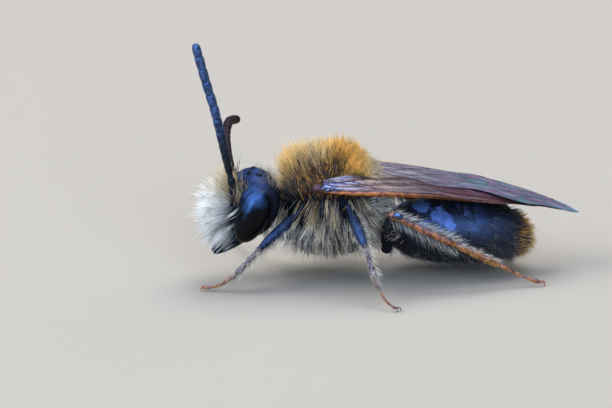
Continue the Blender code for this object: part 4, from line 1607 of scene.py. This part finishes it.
@dataclass
class Thorax:
    """The thorax's shell, its coat, the neck and the small shells over the wing roots."""

    wings: Wings
    front: float = -0.66
    back: float = 2.38
    axis: float = 2.35
    top: float = 3.86
    belly: float = 0.95
    half_width: float = 1.36
    crest: float = 1.1
    seam: float = 1.52
    rail: float = 0.62
    flank_seam: float = 2.55
    flank_slot: float = 0.62
    neck: tuple[Place, Place] = ((-0.5, 0, 2.55), (-1.3, 0, 2.45))
    neck_radius: float = 0.34
    cap_radii: Place = (0.23, 0.16, 0.13)
    cap_shift: Place = (0.14, 0.06, 0.02)
    cap_lean: float = math.radians(38)
    hinge_plates: tuple = ((0.42, 1.46, 3.38, 0.11), (0.55, 1.53, 3.34, 0.1), (0.7, 1.5, 3.36, 0.08),
                           (0.52, 1.3, 3.47, 0.1))

    def build(self) -> None:
        """Make the shell, the neck, the caps and the coat."""
        shell = self._shell()
        self._coat(Skin([shell]))
        Bench.hand_over(shell, "thorax_shell", THORAX_SHELL, "black_shell", ["thorax"])
        for side in Side:
            self._cap(side)

    def _shell(self) -> Piece:
        """The shell with its grooves, joined with the neck."""
        middle, reach = (self.front + self.back) / 2, (self.back - self.front) / 2
        crest = (self.crest - middle) / reach
        rings = []
        for s in spread(15):
            past = (s - crest) / (1.0 + math.copysign(crest, crest - s))
            above = (self.top - self.axis) * swell(past, 2.9)
            below = (self.axis - self.belly) * swell(s, 2.6)
            rings.append(Ring(middle + s * reach, self.half_width * swell(s, 2.5), (above + below) / 2,
                              0.0, self.axis + (above - below) / 2))
        shell = Bench.place(Bench.loft(rings, 32, rounds=2), LENGTHWISE)
        Bench.sculpt(shell, self._features)
        rings = [Ring(share * 0.75, self.neck_radius - 0.05 * math.sin(share * math.pi), 0.3)
                 for share in (0, 0.3, 0.6, 1)]
        return Bench.join([shell, Bench.place(Bench.loft(rings, 16), aim(*self.neck))])

    def _features(self, x: Array, y: Array, z: Array) -> Shape:
        """Press the grooves between the thorax's plates."""
        above = ease(self.axis + 0.2, self.axis + 0.7, z)
        seam = bump_at(x - self.seam - 0.12 * (y / 1.2) ** 2, 0.06)
        middle = bump_at(y, 0.035) * ease(1.3, 0.6, x)
        rail = bump_at(np.abs(y) - self.rail, 0.03) * ease(1.2, 0.8, x) * ease(0.0, 0.3, x)
        z = z - above * (0.09 * seam + 0.02 * middle + 0.02 * rail)
        z = z - above * 0.2 * ease(2.0, 2.2, x)
        flank = bump_at(z - self.flank_seam, 0.06) * ease(0.9, 1.2, np.abs(y))
        y = y - np.sign(y) * 0.05 * flank
        slot = bump_at(x - self.flank_slot - (z - 2.0) * 0.25, 0.06) * ease(2.6, 2.2, z)
        slot = slot * ease(0.8, 1.1, np.abs(y))
        return x, y - np.sign(y) * 0.05 * slot, z

    def _bean(self, x: Array, y: Array, z: Array) -> Shape:
        """Flatten a cap's underside, and turn its rim down a little."""
        rim = np.hypot(x / self.cap_radii[0], y / self.cap_radii[1])
        return x, y, np.where(z < 0, z * 0.35, z) - 0.04 * ease(0.75, 1.0, rim)

    def _cap(self, side: Side) -> None:
        """The shell over a wing root: a shallow bean with a lip, and the wing's hinge plates."""
        x, y, z = self.cap_shift
        spot = Vector(FRAME.centre(f"tegula_{side.label}")) + Vector((x, y * side.value, z))
        cap = Bench.sculpt(Bench.ball(self.cap_radii, 28, 18), self._bean)
        Bench.place(cap, Matrix.Translation(spot) @ Matrix.Rotation(side.value * self.cap_lean, 4, "X"))
        Bench.hand_over(cap, f"wing_cap_{side.label}", WING_CAP, "brown_shell", [f"tegula_{side.label}"])
        plates = [Bench.ball((size, size * 0.75, size * 0.6), 16, 10, (x, -y * side.value, z))
                  for x, y, z, size in self.hinge_plates]
        Bench.hand_over(Bench.join(plates), f"wing_hinge_{side.label}", HINGE, "black_shell")

    def _coat(self, skin: Skin) -> None:
        """Upright golden hair above, long pale hair on the flanks, dusky hair below."""
        def back_tone(s: Spots) -> Array:
            """Pale gold in the middle, orange behind it, golden at both ends, brown on the sides."""
            tone = (GOLD + 0.02 + 0.12 * bump_at(s.x - 0.25, 0.3) - 0.11 * ease(0.6, 1.0, s.x)
                    + 0.2 * ease(1.5, 1.95, s.x))
            side = np.where(np.sin(s.x * 37 + 2 * np.sin(s.side * 21)) > 0.88, GOLD - 0.12, BROWN)
            dark = (s.side > 0.98) | (ease(0.38, 0.54, s.side) * ease(1.3, 1.05, s.x) > 0.5)
            return np.where(dark, side, tone)

        def collar_tone(s: Spots) -> Array:
            """Gold in the middle, brown with a few golden locks on the sides, black low down."""
            golden = np.sin(s.y * 40 + s.z * 9 + 2 * np.sin(s.x * 30)) > 0.75
            side = np.where(s.z > 2.85, np.where(golden, GOLD - 0.08, BROWN), SOOT)
            return np.where(s.side < 0.36, GOLD + 0.08, side)

        def rump_tone(s: Spots) -> Array:
            """Pale gold at the top, white with dusky locks below."""
            return np.where(s.z > 3.0, BUFF, mixed(WHITE - 0.02, SMOKE, 0.3, 17.0)(s))

        def flank_density(s: Spots) -> Array:
            """The sides, with thin places behind the head and before the waist."""
            side = ease(0.35, 0.6, abs(s.normals[:, 1])) * ease(1.15, 1.5, s.z) * ease(3.15, 2.95, s.z)
            front = 0.06 + 0.94 * np.maximum(ease(0.0, 0.2, s.x), ease(2.35, 2.0, s.z))
            rear = 1.0 - 0.98 * bump_at(s.x - 1.04, 0.32) * ease(1.5, 1.8, s.z)
            wave = np.sin(s.x * 13.0 + 2.0 * np.sin(s.z * 4.0) + np.sin(s.x * 5.0))
            return side * front * rear * (0.04 + 0.96 * ease(-0.4, 0.3, wave)) * ease(2.3, 2.1, s.x)

        def flank_tone(s: Spots) -> Array:
            """Golden buff below the wing root and whiter below, in uneven streaks; at the bottom the tone
            drops and dusky locks grow commoner as painted shade.
            """
            streak = np.sin(s.x * 17.0 + 2.0 * np.sin(s.x * 5.0 + s.z)) * 0.07
            warm = bump_at(s.x - 0.2, 0.35) * ease(2.45, 2.8, s.z)
            # Whiter below the middle, then darker at the bottom as painted shade.
            height = 0.1 * ease(2.7, 2.0, s.z) - 0.12 * ease(1.8, 1.4, s.z)
            wave = np.sin(s.x * 31.0 + 3.0 * np.sin(s.z * 6.0 + s.x * 7.0))
            # Dusky locks grow commoner towards the bottom: painted shade.
            dusky = wave > 0.3 - 0.5 * ease(2.1, 1.6, s.z)
            return np.where(dusky, BROWN - 0.06, BUFF + 0.05 + height + streak - 0.2 * warm)

        back = Patch(
            13500, 0.64,
            lambda s: ease(0.25, 0.5, s.up) * ease(-0.5, -0.2, s.x) * ease(2.0, 1.8, s.x)
            * (1.0 - 0.7 * ease(0.4, 0.65, s.side) * ease(1.4, 1.1, s.x)),
            lie(0.55, lambda s: (0.22 * (s.x - 0.7), 0.0, 0.75)), back_tone,
            lambda s: (1.0 - 0.6 * ease(0.36, 0.56, s.side) * ease(1.5, 1.2, s.x))
            * (1.0 - 0.5 * ease(1.2, 2.0, s.x)) * (1.0 + 0.3 * ease(0.6, -0.3, s.x)),
            thickness=0.02, ruffle=0.12, clump=0.35, tone_blur=0.1, vary=0.25)
        collar = Patch(
            2600, 0.64, lambda s: ease(-0.1, -0.35, s.x) * ease(2.5, 2.9, s.z),
            lie(0.4, (-0.2, 0.0, 0.85)), collar_tone, clump=0.45, tone_blur=0.1, vary=0.3)
        rump = Patch(
            3200, 0.5, lambda s: ease(1.75, 2.05, s.x) * ease(1.2, 1.5, s.z),
            lie(0.6, lambda s: (0.55, 0.35 * s.y, 0.1 + 0.5 * ease(3.0, 3.5, s.z))), rump_tone,
            ruffle=0.3, clump=0.7, vary=0.3)
        flank = Patch(
            5200, 0.7, flank_density, lie(0.5, lambda s: (0.3 * (s.x - 0.75), 0.0, -0.85)), flank_tone,
            lambda s: 1.0 - 0.45 * ease(1.9, 1.2, s.z), levels=4, ruffle=0.18, clump=0.55,
            bend=(0.0, 0.0, -0.1), vary=0.3, thickness=0.017)
        belly = Patch(
            2400, 0.34, lambda s: ease(-0.25, -0.6, s.up), lie(0.5, lambda s: (0.05, 0.3 * s.y, -0.6)),
            mixed(BUFF, BROWN - 0.06, 0.55, 25.0), ruffle=0.2, clump=0.6)
        unwrap = round_path([(self.front, 0, self.axis), (self.back, 0, self.axis)])
        Coat("thorax_coat_upper", AMBER_HAIR, "amber_hair", skin, unwrap, [back, collar], 21,
             clear_of=self.wings.clear).grow()
        Coat("thorax_coat_lower", WHITE_HAIR, "white_hair", skin, unwrap, [rump, flank, belly], 22,
             clear_of=self.wings.clear).grow()


# --- abdomen ---

@dataclass
class Abdomen:
    """Six overlapping shell rings and their hair."""

    wings: Wings
    front: float = 2.46
    back: float = 7.34
    top: float = 2.56
    belly: float = 0.26
    half_width: float = 1.45
    cuts: tuple = (3.42, 4.28, 5.12, 5.9, 6.6)
    droop: float = 0.12
    tip_droop: float = 0.2
    hair_room: float = 0.07
    under_roof: float = 0.3
    lip: float = 0.05
    tuck: float = 0.12
    side_seam: float = 0.72

    def ring(self, x: float, grow: float) -> Ring:
        """One ring at x, grown by a little."""
        middle = (self.front + self.back) / 2
        s = (x - middle) / (self.back - middle)
        full = swell(s * 0.96 - 0.035, 2.7) if s < 0 else swell(min(1.0, s * 0.995), 2.5)
        droop = self.droop * (s + 0.3) + self.tip_droop * max(0.0, s) ** 4
        centre = (self.top + self.belly) / 2 - droop
        half = max(0.03, (self.top - self.belly) / 2 * full - self.hair_room + grow)
        wide = max(0.03, self.half_width * full - self.hair_room + grow)
        low = max(centre - half, self.belly + 0.04)
        high = min(centre + half, float(self.wings.roof(x)) - self.under_roof)
        return Ring(x, wide, (high - low) / 2, 0.0, (high + low) / 2)

    def build(self) -> None:
        """Make the rings, then the coat over them."""
        ends = (self.front,) + self.cuts + (self.back - 0.06,)
        plates = [self._plate(number, start, stop)
                  for number, (start, stop) in enumerate(zip(ends, ends[1:]), 1)]
        self._coat(Skin(plates))
        for number, plate in enumerate(plates, 1):
            Bench.hand_over(plate, f"abdomen_plate_{number}", ABDOMEN_SHELL, "black_shell",
                            [f"abdomen_segment_{number}"])

    def _plate(self, number: int, start: float, stop: float) -> Piece:
        """One ring of shell, tucked under the ring before it and lipped at its rear edge."""
        last = number == len(self.cuts) + 1
        rings = [self.ring(start - self.tuck, -self.lip * 2.2)] if number > 1 else []
        steps = 10 if last else 6
        for step in range(steps + 1):
            share = math.sin(step / steps * math.pi / 2) if last else step / steps
            rings.append(self.ring(start - 0.02 + (stop - start) * share, self.lip * (share - 0.75)))
        if not last:
            rings.append(self.ring(stop + 0.035, self.lip * 0.15))
            rings.append(self.ring(stop + 0.03, -self.lip * 1.2))
        plate = Bench.place(Bench.loft(rings, 36, rounds=2), LENGTHWISE)
        return Bench.sculpt(plate, self._press_seam)

    def _press_seam(self, x: Array, y: Array, z: Array) -> Shape:
        """Press the seam between the upper and the lower plates."""
        seam = bump_at(z - self.side_seam, 0.05) * ease(0.6, 1.0, np.abs(y))
        return x, y - np.sign(y) * 0.05 * seam, z

    @staticmethod
    def _outside(s: Spots) -> Array:
        """1 on the shells' outer faces only."""
        radial = s.points * np.array([0.0, 1.0, 1.0]) - np.array([0.0, 0.0, 1.3])
        return ((unit(radial) * s.normals).sum(axis=1) > 0.3) | (s.x > 6.9)

    def _coat(self, skin: Skin) -> None:
        """Fine short hair, a fringe along each rear edge, and a golden tuft at the tip."""
        swept = lie(0.3, (1.0, 0.0, -0.12))

        def edge_density(s: Spots) -> Array:
            """Along each rear edge, at the sides and below."""
            gap = np.abs(s.x[:, None] - np.array(self.cuts) + 0.05).min(axis=1)
            return (gap < 0.06) * ease(0.75, 0.3, s.up)

        def tip_tone(s: Spots) -> Array:
            """Browner above, golden at the very end."""
            return AMBER + 0.04 + 0.12 * ease(6.75, 7.05, s.x) - 0.22 * ease(1.25, 1.7, s.z)

        down = Patch(5200, 0.17, lambda s: 1.0 - 0.6 * ease(0.2, 0.8, s.up), swept, SMOKE,
                     thickness=0.008, levels=2, clump=0.2, vary=0.3)
        edges = Patch(1500, 0.22, edge_density, swept, mixed(WHITE - 0.15, SMOKE, 0.75),
                      thickness=0.007, clump=0.2)
        tip = Patch(2800, 0.26, lambda s: ease(6.6, 6.95, s.x), lie(0.45, (0.8, 0.0, -0.15)), tip_tone,
                    thickness=0.013, clump=0.35)
        streaks = Patch(1000, 0.3, lambda s: ease(5.0, 6.0, s.x) * ease(0.6, 0.2, s.up),
                        lie(0.25, (0.75, 0.0, -0.65)), SMOKE, thickness=0.009, clump=0.3, vary=0.35)
        # Dark smoke hair low on the sides and underside: its dark tone is painted shade for the shaded
        # underside.
        low = Patch(1000, 0.3, lambda s: ease(1.25, 0.8, s.z) * ease(7.2, 6.6, s.x),
                    lie(0.4, (0.75, 0.0, -0.45)), SMOKE, thickness=0.012, clump=0.5)
        base = Patch(1000, 0.42, lambda s: ease(3.1, 2.7, s.x), lie(0.8, (0.3, 0.0, 0.1)),
                     mixed(WHITE - 0.08, SMOKE, 0.4, 20.0), thickness=0.016, clump=0.55)
        Coat("abdomen_coat", WHITE_HAIR, "white_hair", skin,
             round_path([(self.front, 0, 1.4), (self.back, 0, 1.3)]),
             [down, edges, tip, streaks, low, base], 31, mask=self._outside,
             clear_of=self.wings.clear).grow()


# --- legs ---

@dataclass(frozen=True)
class LegBuild:
    """One pair of legs' thicknesses, in millimetres, and how its parts are dressed."""

    thigh: float
    shin: float
    shin_flat: float
    heel: float
    toe: float
    thigh_finish: Finish
    shin_finish: Finish
    foot_finish: Finish


@dataclass
class Legs:
    """Six legs on joint places: hip, knee, shin end, ankle, toe joints and foot."""

    wings: Wings
    foot_height: float = 0.06
    places: dict = field(default_factory=lambda: {
        "fore_left": ((-0.25, -0.95, 2.5), (-1.66, -1.52, 1.42), (-2.43, -1.6, 0.62),
                      (-2.86, -1.5, 0.29), (-3.16, -1.39, 0.14), (-3.38, -1.34, 0.16)),
        "mid_left": ((1.2, -1.15, 2.75), (1.66, -2.4, 1.68), (1.86, -3.15, 0.86),
                     (2.06, -3.6, 0.42), (2.3, -3.88, 0.16), (2.44, -3.98, 0.16)),
        "hind_left": ((2.46, -1.22, 1.1), (2.58, -1.84, 2.5), (4.62, -2.0, 1.5), (6.02, -1.95, 0.77),
                      (6.81, -1.9, 0.33), (7.38, -1.98, 0.16)),
        "fore_right": ((-0.25, 0.95, 2.5), (-1.08, 2.15, 1.72), (-1.5, 2.62, 0.86),
                       (-1.76, 2.88, 0.36), (-2.05, 3.15, 0.16)),
        "mid_right": ((1.2, 1.15, 2.75), (1.62, 2.4, 1.7), (1.72, 3.08, 1.0),
                      (1.9, 3.58, 0.42), (2.24, 3.98, 0.16)),
        "hind_right": ((2.4, 1.22, 0.98), (2.52, 1.88, 2.46), (4.4, 2.16, 1.42), (5.58, 2.36, 0.76),
                       (6.16, 2.5, 0.38), (6.8, 2.74, 0.16))})
    builds: dict = field(default_factory=lambda: {
        "fore": LegBuild(0.18, 0.095, 1.0, 0.065, 0.055, FORE_THIGH, DARK_LEG, ORANGE_LEG),
        "mid": LegBuild(0.19, 0.095, 1.0, 0.062, 0.052, LIMB_SHELL, DARK_LEG, BROWN_LEG),
        "hind": LegBuild(0.25, 0.12, 0.85, 0.125, 0.078, HIND_THIGH, ORANGE_LEG, ORANGE_LEG)})
    thigh_profile: tuple = ((0.0, 0.4), (0.03, 0.7), (0.1, 0.8), (0.15, 0.66), (0.2, 0.78), (0.36, 0.97),
                            (0.6, 1.0), (0.82, 0.84), (0.94, 0.66), (1.0, 0.42))
    shin_profile: tuple = ((0.0, 0.5), (0.05, 0.8), (0.2, 0.78), (0.5, 0.95), (0.8, 1.12), (0.95, 1.1),
                           (1.0, 0.6))
    heel_profile: tuple = ((0.0, 0.5), (0.06, 0.85), (0.4, 1.0), (0.8, 0.92), (0.95, 0.86), (1.0, 0.5))
    bead_profile: tuple = ((0.0, 0.45), (0.2, 0.6), (0.65, 0.95), (0.88, 1.0), (1.0, 0.6))
    toe_shares: tuple = (0.0, 0.2, 0.38, 0.54, 1.0)
    knee_plate_radii: Place = (0.1, 0.11, 0.17)
    pad_radii: Place = (0.05, 0.04, 0.03)
    spur_radii: Place = (0.02, 0.016, 0.004)

    def build(self) -> None:
        """Make each leg's thigh, shin and foot, and its coat."""
        for name, places in self.places.items():
            self._leg(name, [Vector(place) for place in places], self.builds[name.split("_")[0]])

    def _leg(self, name: str, places: Sequence[Vector], made: LegBuild) -> None:
        """One leg.

        Args:
            name: Its pair and side.
            places: Its joints.
            made: Its thicknesses and finishes.
        """
        hip, knee, shin_end, ankle = places[:4]
        foot = Vector((places[-1].x, places[-1].y, self.foot_height + made.toe))
        level = Vector((foot.x - places[-2].x, foot.y - places[-2].y, 0)).normalized()
        thigh = Bench.limb(hip, knee, made.thigh, self.thigh_profile)
        if name.startswith("hind"):
            Bench.hand_over(self._knee_plate(knee, shin_end), f"knee_plate_{name}", KNEE_PLATE,
                            "black_shell")
        shin = Bench.join([Bench.limb(knee, shin_end, made.shin, self.shin_profile, made.shin_flat),
                           Bench.ball((made.shin * 1.1,) * 3, 16, 10, knee),
                           self._spur(knee, shin_end, made.shin)])
        tarsus = [Bench.limb(shin_end, ankle, made.heel, self.heel_profile, 0.85)]
        path = np.array([ankle] + list(places[4:-1]) + [foot], float)
        beads = along_path(smooth_curve(path, 6), self.toe_shares)
        for low, high in zip(beads, beads[1:]):
            tarsus.append(Bench.limb(Vector(low), Vector(high), made.toe, self.bead_profile, 1.0, 12))
        tarsus = Bench.join(tarsus + [self._claws(foot, level)])
        self._coat(name, Skin([thigh, shin, tarsus]), places)
        Bench.hand_over(thigh, f"thigh_{name}", made.thigh_finish, "black_shell", [f"leg_{name}_femur"])
        Bench.hand_over(shin, f"shin_{name}", made.shin_finish, "leg_brown", [f"leg_{name}_tibia"])
        Bench.hand_over(tarsus, f"foot_{name}", made.foot_finish, "leg_brown", [f"leg_{name}_tarsus"])

    def _knee_plate(self, knee: Vector, shin_end: Vector) -> Piece:
        """The glossy plate on the outer face of a hind shin's base."""
        outward = Vector((0, math.copysign(1.0, knee.y), 0))
        spot = knee + (shin_end - knee).normalized() * 0.22 + outward * 0.11 + Vector((0, 0, 0.12))
        plate = Bench.ball(self.knee_plate_radii, 20, 12)
        return Bench.place(plate, Matrix.Translation(spot) @ aim((0, 0, 0), shin_end - knee))

    def _spur(self, knee: Vector, shin_end: Vector, radius: float) -> Piece:
        """The spine at a shin's end."""
        along = (shin_end - knee).normalized()
        start = shin_end - along * 0.05
        aside = Vector((0, 0, -1)) * radius * 0.8
        path = [start + aside * 0.6, start + aside * 1.1 + along * 0.1, start + aside * 1.4 + along * 0.24]
        return Bench.cords([(np.array(path), self.spur_radii)])

    def _claws(self, foot: Vector, level: Vector) -> Piece:
        """Two hooked claws and the pad between them."""
        runs = []
        low = Vector((0, 0, 0.012 - foot.z))
        for turn in (-1, 1):
            out = level.cross(Vector((0, 0, 1))) * turn
            path = [foot - level * 0.04, foot + level * 0.06 + out * 0.06 + Vector((0, 0, 0.025)),
                    foot + level * 0.14 + out * 0.1 + low * 0.2, foot + level * 0.13 + out * 0.11 + low]
            runs.append((smooth_curve(path, 4), np.linspace(0.032, 0.008, 13)))
        pad = Bench.ball(self.pad_radii, 14, 10, foot + level * 0.04)
        return Bench.join([Bench.cords(runs), pad])

    def _coat(self, name: str, skin: Skin, places: Sequence[Vector]) -> None:
        """A leg's hair, by its stretches.

        Args:
            name: Its pair and side.
            skin: The leg's shells.
            places: Its joints.
        """
        joints = np.array(places, float)
        path = round_path(joints)
        runs = np.diff(joints, axis=0)
        lengths = np.linalg.norm(runs, axis=1)
        marks = np.concatenate([[0.0], np.cumsum(lengths)]) / lengths.sum()
        aside = np.sign(joints[1][1])

        def where(low: float, high: float) -> Field:
            """Hair on the stretch between two shares of the leg's length."""
            def density(s: Spots) -> Array:
                """The share of hair at places."""
                way = path(s.points)[:, 1]
                return ease(low - 0.02, low + 0.02, way) * ease(high + 0.02, high - 0.02, way)
            return density

        def facing(base: Field, axis: Place, low: float) -> Field:
            """Hair of a stretch on the side that faces along an axis."""
            return lambda s: base(s) * ease(low, low + 0.5, s.normals @ unit(np.array(axis)))

        def swept(number: int, off: float, drop: float = 0.0) -> Field:
            """Along a stretch, standing off it a little."""
            return lie(off, tuple(unit(runs)[number] - np.array([0.0, 0.0, drop])))

        thigh, shin = where(marks[0] + 0.1, marks[1]), where(marks[1], marks[2])
        heel, toes = where(marks[2], marks[3]), where(marks[3], 0.98)
        under = facing(thigh, (0, -0.2 * aside, -1), 0.1)
        if name.startswith("hind"):
            thigh_hair = Patch(600, 0.17, thigh, swept(0, 0.7), mixed(WHITE - 0.3, SOOT, 0.85),
                               thickness=0.009, levels=2, clump=0.2)
            fringe = 140
            rest = [
                Patch(700, 0.4, facing(shin, (0.25, 0, 1), 0.4), lie(0.15, (1.0, 0.0, 0.08)),
                      mixed(WHITE, SMOKE, 0.45), thickness=0.009, clump=0.15, clump_of=5, vary=0.25,
                      ruffle=0.05),
                Patch(1000, 0.42, facing(shin, (-0.4, 0, -1), 0.3), swept(1, 0.9, 0.3),
                      streaked((60, 0, 0), 0.3, WHITE - 0.1, SMOKE), thickness=0.01, clump=0.4,
                      clump_of=7, vary=0.3, ruffle=0.12),
                Patch(500, 0.1, shin, swept(1, 0.25), AMBER + 0.08, thickness=0.011, levels=2),
                Patch(420, 0.24, facing(heel, (0.25, 0, 1), 0.2), swept(2, 0.7), WHITE - 0.05,
                      thickness=0.012, clump=0.3),
                Patch(900, 0.11, heel, swept(2, 0.35), AMBER + 0.1, thickness=0.012, levels=2)]
        else:
            thigh_hair = Patch(380, 0.1, thigh, swept(0, 0.35), mixed(WHITE - 0.3, SMOKE, 0.7),
                               thickness=0.009, levels=2, clump=0.2)
            fringe = 240
            rest = [
                Patch(420, 0.16, shin, swept(1, 0.4), WHITE - 0.1, thickness=0.01, clump=0.3),
                Patch(420, 0.26, facing(shin, (1, 0, -0.2), 0.2), swept(1, 1.1), WHITE - 0.06,
                      thickness=0.01, clump=0.3),
                Patch(240, 0.3, facing(thigh, (1, 0, -0.2), 0.2), swept(0, 0.8),
                      mixed(WHITE - 0.06, SMOKE, 0.3), thickness=0.011, clump=0.4),
                Patch(260, 0.2, facing(heel, (1, 0, -0.2), 0.2), swept(2, 0.9), WHITE - 0.08,
                      thickness=0.01, clump=0.3),
                Patch(420, 0.13, heel, swept(2, 0.45), BUFF, thickness=0.011, levels=2)]
        patches = [
            thigh_hair,
            Patch(fringe, 0.26, under, swept(0, 0.9), mixed(BUFF + 0.1, SMOKE, 0.5), thickness=0.013,
                  clump=0.4),
            Patch(420, 0.085, toes, swept(2, 0.5), AMBER + 0.05, thickness=0.011, levels=2, clump=0.1)]
        Coat(f"coat_{name}", WHITE_HAIR, "white_hair", skin, path, patches + rest,
             40 + sum(map(ord, name)) % 50, clear_of=self.wings.clear).grow()


# --- studio ---

def stand(name: str, data: bpy.types.ID, target: Vector, azimuth: float, elevation: float,
          distance: float) -> Piece:
    """Stand a lamp or a camera at a distance from the target, turned to it.

    Args:
        name: Its name.
        data: The lamp's or the camera's data.
        target: What it looks at.
        azimuth: Degrees round the bee, from its left side.
        elevation: Degrees above the floor.
        distance: Metres from the target.

    Returns:
        The lamp or the camera.
    """
    turn, rise = math.radians(azimuth), math.radians(elevation)
    away = Vector((math.sin(turn) * math.cos(rise), -math.cos(turn) * math.cos(rise), math.sin(rise)))
    made = bpy.data.objects.new(name, data)
    bpy.context.scene.collection.objects.link(made)
    made.location = target + away * distance
    made.rotation_mode = "QUATERNION"
    made.rotation_quaternion = away.to_track_quat("Z", "Y")
    return made


@dataclass(frozen=True)
class Softbox:
    """A round soft light: where it hangs from the bee's middle, its width, its power and colour."""

    name: str
    azimuth: float
    elevation: float
    distance: float
    width: float
    power: float
    colour: Colour = (1.0, 1.0, 1.0)
    diffuse: bool = True
    glossy: bool = True

    def hang(self, target: Vector) -> None:
        """Add the light, turned to the target."""
        data = bpy.data.lights.new(self.name, "AREA")
        data.shape = "DISK"
        data.size = self.width
        data.energy = self.power
        data.color = self.colour
        lamp = stand(self.name, data, target, self.azimuth, self.elevation, self.distance)
        lamp.visible_diffuse = self.diffuse
        lamp.visible_glossy = self.glossy
        lamp.visible_camera = False


@dataclass
class Studio:
    """The camera, the floor and the soft lights."""

    azimuth: float = -6.0
    elevation: float = 18.0
    distance: float = 0.2
    aim_place: Place = (0.0, 0.0, 2.397)
    view_width: float = 0.019742
    sensor: float = 36.0
    floor_size: float = 4.0
    sky: Colour = (0.55, 0.58, 0.62)
    sky_strength: float = 0.3
    lights: tuple = (
        Softbox("key", 150.0, 62.0, 0.25, 0.2, 0.55, (1.0, 0.95, 0.88)),
        Softbox("left fill", -85.0, 38.0, 0.25, 0.2, 0.55, (1.0, 0.99, 0.97), glossy=False),
        Softbox("front fill", 12.0, 24.0, 0.25, 0.16, 0.3, (0.86, 0.94, 1.0), glossy=False),
        Softbox("window sky", -52.0, 26.0, 0.2, 0.15, 2.0, (0.16, 0.42, 1.0), diffuse=False),
        Softbox("side sky", 4.0, 44.0, 0.2, 0.14, 1.1, (0.16, 0.36, 1.0), diffuse=False),
        Softbox("high sky", 10.0, 84.0, 0.2, 0.28, 1.4, (0.2, 0.4, 1.0), diffuse=False))

    def build(self) -> None:
        """Set up everything round the bee."""
        target = FRAME.metres(self.aim_place)
        self._camera(target)
        self._floor()
        self._world()
        for light in self.lights:
            light.hang(target)
        view = bpy.context.scene.view_settings
        view.view_transform = "Standard"
        view.look = "None"

    def _camera(self, target: Vector) -> None:
        """A long lens that holds the view's width at the target."""
        data = bpy.data.cameras.new("camera")
        data.sensor_width = self.sensor
        data.lens = self.sensor * self.distance / self.view_width
        data.clip_start, data.clip_end = 0.005, 20.0
        bpy.context.scene.camera = stand("camera", data, target, self.azimuth, self.elevation,
                                         self.distance)

    def _floor(self) -> None:
        """A wide, plain floor."""
        Bench.clear()
        bpy.ops.mesh.primitive_plane_add(size=self.floor_size, location=(0, 0, CAD_BOX[0].z))
        floor = bpy.context.object
        bpy.ops.object.transform_apply(location=True, rotation=True, scale=True)
        floor.name = "floor"
        floor.data.materials.append(FLOOR.material())

    def _world(self) -> None:
        """A pale, even surrounding light."""
        world = bpy.data.worlds.new("surround")
        world.use_nodes = True
        backdrop = world.node_tree.nodes["Background"]
        backdrop.inputs["Color"].default_value = (*self.sky, 1.0)
        backdrop.inputs["Strength"].default_value = self.sky_strength
        bpy.context.scene.world = world


# --- the whole bee ---


def main() -> None:
    """Build the studio and the bee."""
    logging.basicConfig(level=logging.INFO, format="%(message)s")
    Studio().build()
    wings = Wings()
    head = Head()
    head.build()
    Feelers(head).build()
    Thorax(wings).build()
    Abdomen(wings).build()
    Legs(wings).build()
    wings.build()


if __name__ == "__main__":
    main()
